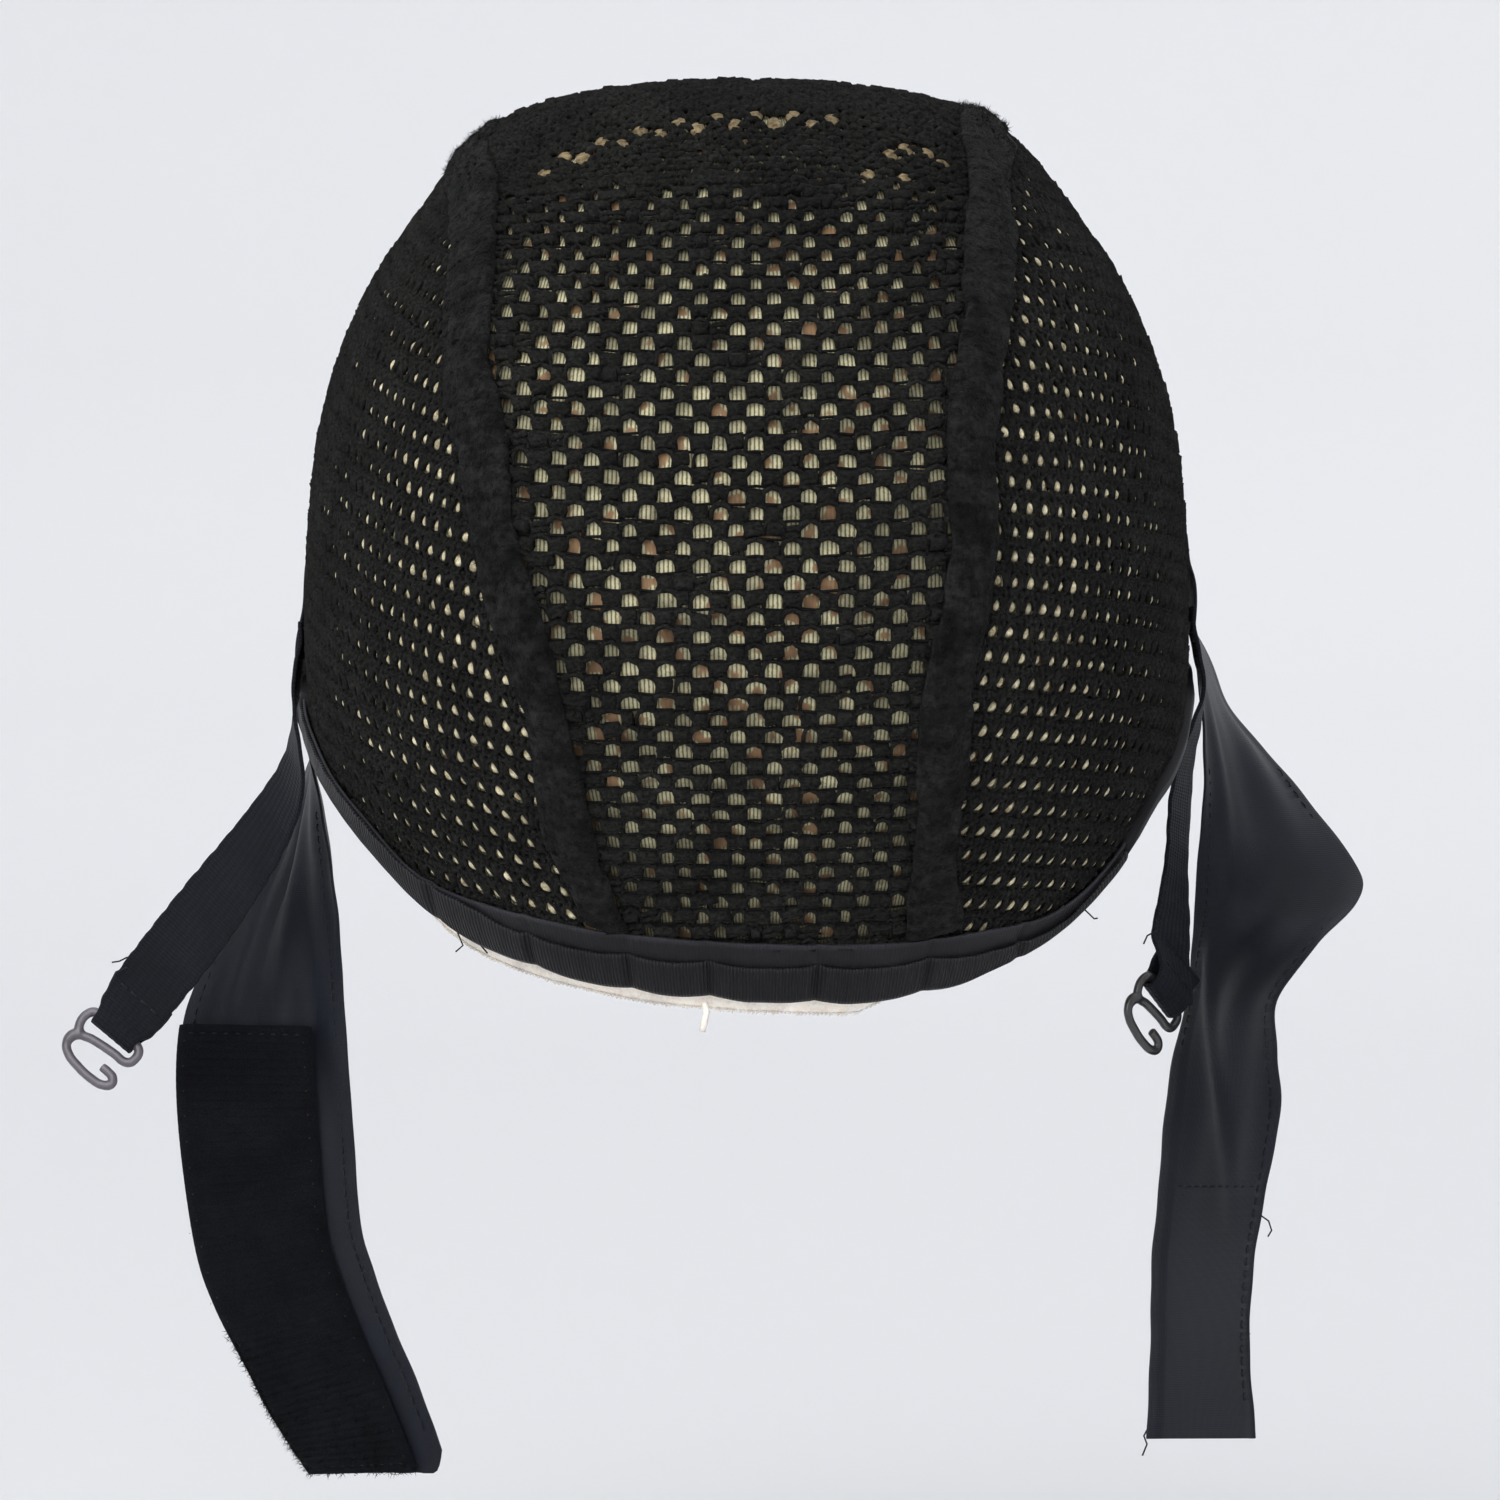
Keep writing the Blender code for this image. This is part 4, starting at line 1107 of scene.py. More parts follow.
def side_panel(name, side, node, seed):
    piece = copy_at(side_stitch, 0, 0)
    piece.name = name
    piece.data.name = name
    each = len(piece.data.vertices)
    repeat(piece, SIDE_COLUMNS, SIDE_ROWS, SIDE_PITCH, SIDE_ROW)
    local, middles = stitch_blocks(piece, each)
    dice = np.random.default_rng(seed)
    local = crumple(local, dice, SIDE_CRUMPLE)
    local = turn_stitches(local, SIDE_TURNS * dice.normal(size=len(local)))
    local[..., 0] *= dice.uniform(*SIDE_WIDTHS, size=(len(local), 1))
    local[..., :2] += SIDE_SHIFTS * dice.normal(size=(len(local), 1, 2))
    local[..., 2] += dice.uniform(*SIDE_LIFTS, size=(len(local), 1))
    middles[:, 0] -= SIDE_PITCH * SIDE_COLUMNS / 2
    middles[:, 1] -= SIDE_ROW * SIDE_ROWS / 2
    slope = math.radians(SIDE_SLOPES[side])
    along, down = turn_flat(middles, slope)
    laid = lay_side(side, along, down, 0.0)
    flat = (local + middles[:, None] * (1, 1, 0)).reshape(-1, 3)
    spread, fall = turn_flat(flat, slope)
    move_points(piece, lay_side(side, spread, fall, NET_MIDDLE + flat[:, 2], NET_ABOVE_RIM))
    past_seam = side * (laid[:, 0] - seam_across(side, turn_of(laid))) < -SIDE_UNDER_TAPE
    around = around_of(laid)
    off_side = (along < SIDE_BACK_END) | (along > SIDE_FRONT_END)
    off_top = (down < run_down[0] + SIDE_TOP) | (side * laid[:, 0] < SIDE_INNER_END)
    under_satin = np.maximum(satin_depth(around) - SIDE_UNDER_SATIN, SIDE_ABOVE_RIM)
    below = drop_of(laid) > rim_drop(around) - under_satin
    outside = past_seam | below | off_side | off_top
    drop_points(piece, np.repeat(outside, each))
    face_outwards(piece)
    finish_piece(piece, net_yarn, "black_knit", node)
    return middles[~outside]


hole_middles = {
    -1: side_panel("side_knit_left", -1, "side_panel_left", 21),
    1: side_panel("side_knit_right", 1, "side_panel_right", 22),
}
bpy.data.objects.remove(side_stitch, do_unlink=True)

# %% [markdown]
# ## Sheets of cloth
# A flat grid is the start of every cloth piece. Its columns run across the cloth and its rows
# along it, and a laying function says where each point goes. Solidify then gives the cloth its
# thickness, a small bevel rounds its edges, and the grid's own UV map stays with it, so that
# ribs and stitches follow the cloth.

# %% Lay a sheet
def sheet(name, columns, rows, lay, wall, bevel=0.0, closed=False):
    """A cloth wall. The laying function takes shares across and along, from 0 to 1."""
    start_clean()
    bpy.ops.mesh.primitive_grid_add(x_subdivisions=columns, y_subdivisions=rows, size=1)
    piece = bpy.context.object
    piece.name = name
    piece.data.name = name
    flat = points_of(piece) * MM
    move_points(piece, lay(flat[:, 0] + 0.5, flat[:, 1] + 0.5))
    if closed:
        face_outwards(piece, merge=True)
    wall_maker = piece.modifiers.new("wall", "SOLIDIFY")
    wall_maker.thickness = wall * MM
    wall_maker.offset = 0.0
    only(piece)
    bpy.ops.object.modifier_apply(modifier="wall")
    if bevel:
        rounder = piece.modifiers.new("edges", "BEVEL")
        rounder.width = bevel * MM
        rounder.segments = 2
        rounder.limit_method = "ANGLE"
        rounder.angle_limit = math.radians(50)
        rounder.harden_normals = False
        bpy.ops.object.modifier_apply(modifier="edges")
    return piece


# %% [markdown]
# ## The liner
# The close liner under the net is a fine ribbed knit, plain cream inside, and outside with tan
# blotches where it is worn thin. It is one smooth sheet, because it shows in the holes and from
# below only, and its ribs are counted along the UV map. The sheet is wrapped right round, its two
# sides meet at the front, and its top row closes at the crown. These are merged before the sheet
# gets its thickness. Worn, it is pressed up against the net. Beside the tapes and just above the
# band less light reaches it, and the sheet carries that shade as an attribute of its points.

# %% Mix the ribbed cream knit
LINER_RIBS = 760
CREAM_DARK = (0.22, 0.20, 0.10)
CREAM_LIGHT = (0.80, 0.75, 0.50)
TAN = (0.36, 0.22, 0.12)
KNIT_RIB_HEIGHT = 0.15
KNIT_FIBRE = 0.5
BLOTCH_SIZE = 3.6
DIM_PATCH_SIZE = 7.0

cream_knit = bpy.data.materials.new("cream ribbed knit")
cream_knit.use_nodes = True
shader = cream_knit.node_tree.nodes["Principled BSDF"]
shader.inputs["Roughness"].default_value = 0.9
shader.inputs["Specular IOR Level"].default_value = 0.2
ribs = rib_wave(cream_knit, Ribs("X", LINER_RIBS, KNIT_RIB_HEIGHT, 0))
fibres = specks(cream_knit, KNIT_FIBRE, detail=3.0)
broken = add_node(cream_knit, "ShaderNodeMath", operation="MULTIPLY")
tie(cream_knit, ribs, "Value", broken, 0)
uneven = ramp(cream_knit, fibres, "Fac", ((0.35, grey(0.35)), (0.6, grey(1.25))))
tie(cream_knit, uneven, "Color", broken, 1)
# Painted shade: the gaps between the ribs run towards CREAM_DARK, and the fibre specks vary the tone.
ribbed = ramp(cream_knit, broken, "Value", ((0.1, CREAM_DARK), (0.45, CREAM_LIGHT)))
blotches = specks(cream_knit, BLOTCH_SIZE, detail=1.0)
where = ramp(cream_knit, blotches, "Fac", ((0.56, grey(0.0)), (0.63, grey(1.0))))
worn = add_node(cream_knit, "ShaderNodeRGB")
worn.outputs[0].default_value = (*TAN, 1)
spotted = mix(cream_knit, (where, "Color"), (ribbed, "Color"), (worn, "Color"))
# Painted shade: random broad patches dim the liner where it shows in the holes.
painted_dim_patches = specks(cream_knit, DIM_PATCH_SIZE, detail=2.0)
dimness = ramp(cream_knit, painted_dim_patches, "Fac", ((0.36, grey(0.4)), (0.58, grey(1.0))))
spotted = multiply(cream_knit, (spotted, MIXED), (dimness, "Color"))
shade = add_node(cream_knit, "ShaderNodeAttribute", attribute_name="shade")
spotted = multiply(cream_knit, (spotted, MIXED), (shade, "Color"))
outer = add_node(cream_knit, "ShaderNodeAttribute", attribute_name="outer")
spotted = mix(cream_knit, (outer, "Fac"), (ribbed, "Color"), (spotted, MIXED))
tie(cream_knit, spotted, MIXED, shader, "Base Color")
add_bump(cream_knit, shader, ribs, "Value", KNIT_RIB_HEIGHT, 0.6)

# %% Wrap the liner round
NET_WALL = 1.5
LINER_GAP = 1.5
LINER_WALL = 1.0
LINER_PRESSED = 1.3
LINER_MIDDLE = -NET_WALL - LINER_GAP + LINER_PRESSED - LINER_WALL / 2
HEM_TOP = 1.9
LINER_OVER_HEM = 0.8
LINER_COLUMNS = 128
LINER_ROWS = 48
DIM_BESIDE_TAPE = 0.38
DIM_ABOVE_BAND = 0.5
LIT_ABOVE_BAND = 30.0
FAR_FROM_TAPE = 20.0
PAST_TAPE = -3.0
TAPE_SHADE = (2.0, 15.0)
SHADE_WAVE = 4
SHADE_WAVE_LENGTH = 30.0


def lay_liner(across, along):
    around = -180 + 360 * across
    edge = at_drop(around, rim_drop(around) - HEM_TOP + LINER_OVER_HEM) - CENTRE
    low = np.arctan2(edge[:, 2], np.hypot(edge[:, 0], edge[:, 1]))
    rise = low + (np.pi / 2 - low) * along
    turned = np.radians(around)
    level = np.cos(rise)
    ways = np.stack((np.sin(turned) * level, -np.cos(turned) * level, np.sin(rise)), axis=1)
    return lifted(CENTRE + ways, LINER_MIDDLE)


def shade_liner(piece):
    """Darken the liner beside the tapes and above the band, and mark its outer face."""
    points = points_of(piece)
    turn = turn_of(points)
    beside = from_seams(points[:, 0], turn)
    beside = np.where(beside < PAST_TAPE, FAR_FROM_TAPE, beside)
    lit = smooth_step(*TAPE_SHADE, beside + SHADE_WAVE * waves(points, SHADE_WAVE_LENGTH, 8))
    dim = DIM_BESIDE_TAPE + (1 - DIM_BESIDE_TAPE) * lit
    above_band = satin_top(around_of(points)) - drop_of(points)
    above_band = np.where(beside == FAR_FROM_TAPE, LIT_ABOVE_BAND, above_band)
    dim *= DIM_ABOVE_BAND + (1 - DIM_ABOVE_BAND) * smooth_step(0.0, LIT_ABOVE_BAND, above_band)
    shades = np.stack((dim, dim, dim, np.ones(len(dim))), axis=1)
    attribute = piece.data.attributes.new("shade", "FLOAT_COLOR", "POINT")
    attribute.data.foreach_set("color", shades.ravel())
    normals = np.empty(points.size)
    piece.data.vertices.foreach_get("normal", normals)
    faces_out = np.sum(normals.reshape(-1, 3) * (points - CENTRE), axis=1) > 0
    attribute = piece.data.attributes.new("outer", "FLOAT", "POINT")
    attribute.data.foreach_set("value", faces_out.astype(float))


liner = sheet("liner_knit", LINER_COLUMNS, LINER_ROWS, lay_liner, LINER_WALL, closed=True)

# %% Raise the pads that swell through the wide holes
PAD_LIFT = -1.0
PAD_HEIGHT = 0.75
PAD_CRUMPLE = 0.05
start_clean()
bpy.ops.mesh.primitive_ico_sphere_add(subdivisions=2, radius=MM)
pads = bpy.context.object
local = copies_of(pads, len(holes_at))
dice = np.random.default_rng(36)
local = crumple(local * (HOLE_ACROSS, HOLE_ALONG, PAD_HEIGHT), dice, PAD_CRUMPLE)
flat = (local + np.insert(holes_at, 2, 0.0, axis=1)[:, None]).reshape(-1, 3)
move_points(pads, lay_centre(flat[:, 0], flat[:, 1], PAD_LIFT + flat[:, 2]))
shade_liner(liner)
finish_piece(liner, cream_knit, "cream_knit", "liner")

# %% Swell the liner a little through the side panels' holes
SWELL_SIZE = (1.25, 1.65, 0.75)
SWELL_SIDES = 7
SWELL_TOP = 0.3
SWELL_FOOT = -1.35
SWELL_SPREAD = (0.8, 1.15)
HOLE_PLACE = (0.0, -0.15, 0.0)

swells = []
for side, middles in hole_middles.items():
    start_clean()
    bpy.ops.mesh.primitive_cone_add(
        vertices=SWELL_SIDES, radius1=MM, radius2=SWELL_TOP * MM, depth=MM, end_fill_type="NGON"
    )
    swell = bpy.context.object
    local = copies_of(swell, len(middles))
    local = (local - local.mean(axis=1, keepdims=True) + (0, 0, 0.5)) * SWELL_SIZE
    local *= np.random.default_rng(35).uniform(*SWELL_SPREAD, size=(len(local), 1, 3))
    flat = (local + (middles + HOLE_PLACE)[:, None] * (1, 1, 0)).reshape(-1, 3)
    along, down = turn_flat(flat, math.radians(SIDE_SLOPES[side]))
    move_points(swell, lay_side(side, along, down, SWELL_FOOT + flat[:, 2], NET_ABOVE_RIM))
    swells.append(swell)
tan_knit = cloth(
    "tan knit close up", (0.05, 0.03, 0.015), (0.37, 0.29, 0.16), 0.9, 1.3, 0.3, 0.03, broad=9.0
)
pads.name = "crown_pads"
finish_piece(pads, tan_knit, "cream_knit")
swells = join("liner_swells", swells)
face_outwards(swells)
plain_cream = cloth(
    "cream knit close up", (0.24, 0.17, 0.08), (0.92, 0.86, 0.60), 0.9, 1.1, 0.25, 0.05, broad=9.0
)
finish_piece(swells, plain_cream, "cream_knit")

# %% [markdown]
# ## The liner's edge
# Below the band the liner ends in a thicker cream and pink edge with tiny loops, like a picot.
# A strip with a rounded profile makes the edge, and a bead of yarn is repeated along its foot.

# %% Cut a cylinder into rings
def ringed_rod(name, sides, rings):
    """A closed rod from -1 to 1 along its axis, and its points, ready to be laid somewhere."""
    start_clean()
    bpy.ops.mesh.primitive_cylinder_add(vertices=sides, radius=1, depth=2)
    piece = bpy.context.object
    piece.name = name
    piece.data.name = name
    edit(piece, "EDGE")
    leave_edit()
    ends = points_of(piece) * MM
    for edge in piece.data.edges:
        first, second = (ends[index] for index in edge.vertices)
        edge.select = bool(abs(first[2] - second[2]) > 1)
    bpy.ops.object.mode_set(mode="EDIT")
    bpy.ops.mesh.subdivide(number_cuts=rings - 1)
    leave_edit()
    return piece, points_of(piece) * MM


# %% Make a rounded strip round the rim
PROFILE_SIDES = 16


def rim_strip(name, start, end, steps, profile):
    """A closed strip along the rim. The profile takes the angle and a share round the strip."""
    piece, flat = ringed_rod(name, PROFILE_SIDES, steps)
    share = np.arctan2(flat[:, 1], flat[:, 0]) / math.tau % 1
    around = start + (end - start) * (flat[:, 2] + 1) / 2
    drop, lift = profile(around, share)
    move_points(piece, at_drop(around, drop, lift))
    face_outwards(piece)
    return piece


def rounded(share, middle_drop, half_drop, middle_lift, half_lift, power=0.5):
    """A rounded box round a middle, as drops and lifts."""
    turned = share * math.tau
    along = np.sign(np.cos(turned)) * np.abs(np.cos(turned)) ** power
    out = np.sign(np.sin(turned)) * np.abs(np.sin(turned)) ** power
    return middle_drop + half_drop * along, middle_lift + half_lift * out


# %% Let the liner's edge down below the band
HEM_WALL = 1.4
HEM_BELOW_BAND = 3.0
HEM_HIDDEN = 0.4
HEM_SHOWS = (-64.0, 26.0)
HEM_FADE = 8.0
HEM_SIDE_MORE = 1.4
HEM_LOWER = (-20.0, -45.0)
HEM_END = 179.8
HEM_STEP_OUT = 1.4
HEM_RINGS = 180
HEM_BEADS = 130
HEM_REACH = 78.0
BEAD_THICK = 0.55
BEAD_OUT = 0.35
BEAD_SIZES = (0.7, 1.2)
HEM_MIDDLE = -NET_WALL - LINER_GAP + HEM_STEP_OUT - HEM_WALL / 2


def hem_let_down(around):
    seen = wrapped(around)
    fade_in = np.clip((seen - HEM_SHOWS[0]) / HEM_FADE, 0, 1)
    fade_out = np.clip((HEM_SHOWS[1] - seen) / HEM_FADE, 0, 1)
    lower = HEM_SIDE_MORE * smooth_step(*HEM_LOWER, seen)
    return (HEM_BELOW_BAND + HEM_HIDDEN + lower) * np.minimum(fade_in, fade_out)


def hem_profile(around, share):
    seen = wrapped(around)
    low = rim_drop(seen) - HEM_HIDDEN + hem_let_down(around)
    high = rim_drop(seen) - HEM_TOP
    return rounded(share, (low + high) / 2, (low - high) / 2, HEM_MIDDLE, HEM_WALL / 2)


cream_edge = cloth(
    "cream and pink edge", (0.88, 0.74, 0.62), (1.0, 1.0, 0.93), 0.9, 0.7, 0.25, 0.15, broad=9.0
)
hem = rim_strip("liner_edge", -HEM_END, HEM_END, HEM_RINGS, hem_profile)

bead = yarn(((-0.35, 0, 0), (0, -0.3, 0.1), (0.35, 0, 0)), BEAD_THICK)
local = copies_of(bead, HEM_BEADS)
dice = np.random.default_rng(31)
bead_around = np.linspace(HEM_SHOWS[0] + 3, HEM_SHOWS[1] - 2, HEM_BEADS)
local *= dice.uniform(*BEAD_SIZES, size=(HEM_BEADS, 1, 1))
around = (bead_around[:, None] + np.degrees(local[..., 0] / HEM_REACH)).ravel()
low = rim_drop(around) - HEM_HIDDEN + hem_let_down(around)
lift = HEM_MIDDLE + BEAD_OUT + local[..., 2].ravel()
move_points(bead, at_drop(around, low - local[..., 1].ravel(), lift))
hem = join("liner_edge", [hem, bead])
finish_piece(hem, cream_edge, "cream_edge", "liner_hem")

# %% [markdown]
# ## The seam tapes
# A napped tape covers each seam. It is a strip with a rounded back that wanders a little with
# the pull of the net: its edges wave, its top is lumpy, and short fibres stand out all over it.
# The fibres are one thin cone, repeated by an array and planted one by one on the tape.

# %% Make a lumpy strip along a seam
TAPE_HALF_WIDTH = 4.2
TAPE_WAVE = 0.6
TAPE_WAVE_RATES = (1.9, 2.3)
TAPE_STEPS = 25
TAPE_TOP = 2.4
TAPE_FOOT = -0.9
TRIM_GAP = 0.5
TAPE_SIDES = 24
TAPE_RINGS = 460
SEAM_GAP = 0.4
NAPE_SEARCH = (-58, 60, 473)
FRONT_SEARCH = (170, 60, 441)
TAPE_SQUARE = 0.8
TAPE_HUMP = 0.7
TAPE_FLATTENS = 0.55
FLATTER_FROM_TURN = 52.0
FLAT_AT_TURN = 72.0
Lumps = namedtuple("Lumps", "height size seed count")
TOP_LUMPS = (Lumps(0.7, 8.0, 41, 5), Lumps(0.55, 2.8, 45, 9))
EDGE_LUMPS = (Lumps(0.45, 5.0, 51, 5), Lumps(0.5, 1.9, 55, 9))


def lumpy(points, lumps, side):
    return sum(lump.height * waves(points, lump.size, lump.seed + side, lump.count) for lump in lumps)


def seam_limit(side, front):
    """The turn at which the tape's end comes down to the satin edge."""
    line = np.linspace(*(FRONT_SEARCH if front else NAPE_SEARCH))
    spread = TAPE_HALF_WIDTH + TAPE_WAVE
    clear = np.ones(len(line), bool)
    for shift in (-spread, 0, spread):
        places = at_turn(seam_across(side, line) + shift, line)
        clear &= drop_of(places) <= satin_top(around_of(places)) - SEAM_GAP
    return line[np.argmax(clear)]


def seam_tape(name, side):
    """A tape from the nape to the front, with waving edges and a lumpy top."""
    low = seam_limit(side, False)
    high = seam_limit(side, True)
    piece, flat = ringed_rod(name, TAPE_SIDES, TAPE_RINGS)
    share = (flat[:, 2] + 1) / 2
    turn = low + (high - low) * share
    step = share * TAPE_STEPS
    wave_a = TAPE_WAVE * np.sin(step * TAPE_WAVE_RATES[0] + side)
    wave_b = TAPE_WAVE * np.sin(step * TAPE_WAVE_RATES[1] + 2 * side)
    widest = TAPE_HALF_WIDTH + np.where(flat[:, 0] < 0, wave_a, wave_b)
    across = np.sign(flat[:, 0]) * np.abs(flat[:, 0]) ** TAPE_SQUARE
    hump = np.sign(flat[:, 1]) * np.abs(flat[:, 1]) ** TAPE_HUMP
    middle_lift = (TAPE_TOP + TAPE_FOOT) / 2
    flatter = 1 - TAPE_FLATTENS * smooth_step(FLATTER_FROM_TURN, FLAT_AT_TURN, turn)
    lift = middle_lift * flatter + (TAPE_TOP - TAPE_FOOT) / 2 * hump * flatter
    middle = seam_across(side, turn)
    rough = at_turn(middle + across * widest, turn)
    top = np.clip(flat[:, 1], 0, 1)
    lift = lift + lumpy(rough, TOP_LUMPS, side) * top
    widest = widest + lumpy(rough, EDGE_LUMPS, side)
    move_points(piece, at_turn(middle + across * widest, turn, lift))
    face_outwards(piece)
    return piece


# %% Plant short fibres on a surface
FIBRE_LEAN = 1.1
FIBRE_LENGTHS = (0.4, 1.0)
ROOT_SPREAD = 0.8
ROOT_DEPTH = 0.25


def fibres_on(piece, count, length, thickness, seed, upper_only=None):
    """Thin spikes that stand out of a piece's faces, each leaning its own way."""
    mesh = piece.data
    areas = np.array([face.area for face in mesh.polygons])
    centres = np.array([face.center for face in mesh.polygons]) / MM
    normals = np.array([face.normal for face in mesh.polygons])
    if upper_only is not None:
        areas = areas * upper_only(centres, normals)
    dice = np.random.default_rng(seed)
    chosen = dice.choice(len(areas), size=count, p=areas / areas.sum())
    start_clean()
    bpy.ops.mesh.primitive_cone_add(vertices=3, radius1=thickness / 2 * MM, depth=MM)
    spike = bpy.context.object
    local = copies_of(spike, count)
    local = local - local.mean(axis=1, keepdims=True)
    local[..., 2] -= local[..., 2].min()
    out = normals[chosen]
    lean = unit(out + FIBRE_LEAN * dice.normal(size=out.shape))
    flip = np.sign(np.sum(lean * out, axis=1, keepdims=True))
    lean = lean * flip
    side = unit(np.cross(lean, unit(dice.normal(size=out.shape))))
    other = np.cross(lean, side)
    reach_out = length * dice.uniform(*FIBRE_LENGTHS, size=(count, 1, 1))
    sideways = dice.uniform(-ROOT_SPREAD, ROOT_SPREAD, size=(count, 1))
    roots = centres[chosen] + side * sideways - out * ROOT_DEPTH
    placed = roots[:, None] + side[:, None] * local[..., :1] + other[:, None] * local[..., 1:2]
    placed = placed + lean[:, None] * local[..., 2:] * reach_out
    move_points(spike, placed.reshape(-1, 3))
    return spike


def off_the_cap(centres, normals):
    """Faces that look away from the cap's middle."""
    return np.sum(normals * unit(centres - CENTRE), axis=1) > 0.1


TAPE_FIBRES = 7000
TAPE_FIBRE_LENGTH = 1.7
TAPE_FIBRE_THICK = 0.15
# The tape's broad patches, from 0.3 to 1.8 times, are partly uneven tone and partly painted light and
# shade of its lumps.
napped_tape = cloth(
    "napped black tape", (0.0005, 0.0005, 0.0005), (0.018, 0.018, 0.0175), 0.95, 1.3, 1.8, 0.03,
    broad=5.0, uneven=(0.3, 1.8),
)
for name, side, node in (("tape_left", -1, "seam_tape_left"), ("tape_right", 1, "seam_tape_right")):
    tape = seam_tape(name, side)
    nap = fibres_on(tape, TAPE_FIBRES, TAPE_FIBRE_LENGTH, TAPE_FIBRE_THICK, 60 + side, off_the_cap)
    tape = join(name, [tape, nap])
    finish_piece(tape, napped_tape, "black_tape", node)

# %% [markdown]
# ## The nape band
# The band at the nape is ribbed satin ribbon, folded once over the net's edge. The lower strip
# lies in front of the upper one, so a groove runs along the band a third of the way down. To
# the right the fold opens into a narrow slit. Small tacks pull the lower strip in every few
# centimetres.

# %% Mix the satin
def painted_edge_highlight(material, low, high, gain):
    """A painted highlight: a lighter line along a cloth's turned edge, between two places of its UV map.
    """
    shader = material.node_tree.nodes["Principled BSDF"]
    place = add_node(material, "ShaderNodeTexCoord")
    parts = add_node(material, "ShaderNodeSeparateXYZ")
    tie(material, place, "UV", parts, "Vector")
    line = ramp(material, parts, "Y", ((low, grey(1.0)), (high, grey(gain))))
    earlier = shader.inputs["Base Color"].links[0].from_node
    lit = multiply(material, (earlier, MIXED), (line, "Color"))
    tie(material, lit, MIXED, shader, "Base Color")


def satin(name, rib_height, rib_shade):
    material = cloth(
        name, (0.004, 0.004, 0.005), (0.013, 0.013, 0.0155), 0.45, 0.3, 0.04, 0.03,
        ribs=(Ribs("X", 290, rib_height, rib_shade),), broad=14.0, shine=0.2,
    )
    # A painted highlight lightens the ribbon along its turned top edge.
    painted_edge_highlight(material, 0.9, 0.97, 3.0)
    return material


dark_satin = satin("dark satin ribbon", 0.05, 0.2)
ribbed_satin = satin("dark ribbed ribbon", 0.3, 0.75)

# %% Fold the band
BAND_LEFT_END = -82.0
BAND_RIGHT_END = 58.0
SATIN_WALL = 1.1
BAND_FOLD = 0.34
TACKS = (-46.0, -31.4, -17.2, -5.6, 10.4, 26.7, 41.0)
TACK_WIDTH = 0.7
TACK_DEPTH = 0.75
BAND_REACHES_IN = 3.0
SCALLOP = 0.6
SCALLOP_WIDTH = 3.0
SCALLOPS_START = (-50.0, -40.0)
SCALLOPS_END = (32.0, 40.0)
BACK_ABOVE_RIM = 0.2
BACK_LIFT = 0.3
BACK_WAVE = 0.12
BACK_WAVE_RATE = 61
BACK_TACK = 0.35
FRONT_LIFT = 1.0
FRONT_BELLY = 0.35
FRONT_WAVE = 0.08
FRONT_WAVE_RATE = 1.7
SLIT_DEPTH = 0.9
SLIT_LIFT = 0.35
BACK_ROLL_SHARE = 0.25
FRONT_ROLL_SHARE = 0.16
ROLLED_IN = 2.2
SLIT_START = 28.0
SLIT_END = 52.0
FOLD_START = -42.0
FOLD_WHOLE = -32.0


def tack_pull(around, width):
    """How strongly the tacks pull at each angle, from 0 to 1."""
    return sum(np.exp(-(((around - tack) / width) ** 2)) for tack in TACKS)


def lay_back_strip(across, along):
    """The upper strip: across runs along the rim, and along runs from the rim up."""
    around = BAND_LEFT_END + (BAND_RIGHT_END - BAND_LEFT_END) * across
    low = rim_drop(around) - BACK_ABOVE_RIM
    high = satin_top(around)
    drop = low + (high - low) * along
    lift = TRIM_GAP + BACK_LIFT + BACK_WAVE * np.sin(across * BACK_WAVE_RATE) * along
    lift = lift - BACK_TACK * tack_pull(around, TACK_WIDTH)
    lift = lift - BAND_REACHES_IN * np.clip(1 - along / BACK_ROLL_SHARE, 0, 1)
    return at_drop(around, drop, lift)


def lay_front_strip(across, along):
    around = BAND_LEFT_END + (BAND_RIGHT_END - BAND_LEFT_END) * across
    shown = smooth_step(*SCALLOPS_START, around) * (1 - smooth_step(*SCALLOPS_END, around))
    low = rim_drop(around) + SCALLOP * (1 - tack_pull(around, SCALLOP_WIDTH)) * shown
    whole = satin_depth(around)
    fold = smooth_step(FOLD_START, FOLD_WHOLE, around) * BAND_FOLD
    opens = smooth_step(SLIT_START, SLIT_START + 12, around)
    slit = opens * (1 - smooth_step(SLIT_END - 4, SLIT_END + 4, around))
    top = low - whole * (1 - fold) + SLIT_DEPTH * slit
    drop = low + (top - low) * along
    pull = tack_pull(around, TACK_WIDTH)
    belly = FRONT_BELLY * np.sin(np.pi * along)
    lift = TRIM_GAP + FRONT_LIFT + belly * (1 - 0.6 * pull)
    lift = lift - TACK_DEPTH * pull * (0.3 + 0.7 * along)
    lift = lift + SLIT_LIFT * slit * along + FRONT_WAVE * np.sin(around * FRONT_WAVE_RATE) * along
    roll = -ROLLED_IN * np.clip(1 - along / FRONT_ROLL_SHARE, 0, 1) ** 2
    return at_drop(around, drop, lift + roll)


back_strip = sheet("nape_ribbon", 420, 8, lay_back_strip, 0.5, 0.12)
front_strip = sheet("nape_fold", 440, 11, lay_front_strip, 0.55, 0.15)
finish_piece(back_strip, dark_satin, "dark_satin", "nape_band")
finish_piece(front_strip, ribbed_satin, "dark_satin")

# %% [markdown]
# ## The rest of the rim
# A narrow binding of the same satin runs round the rest of the rim, along both sides and round
# the front. It is one rounded strip that wanders a little in and out.

# %% Bind the rest of the rim
BAND_PARTING = 0.4
BINDING_REACHES_IN = 2.1
BINDING_RINGS = 220


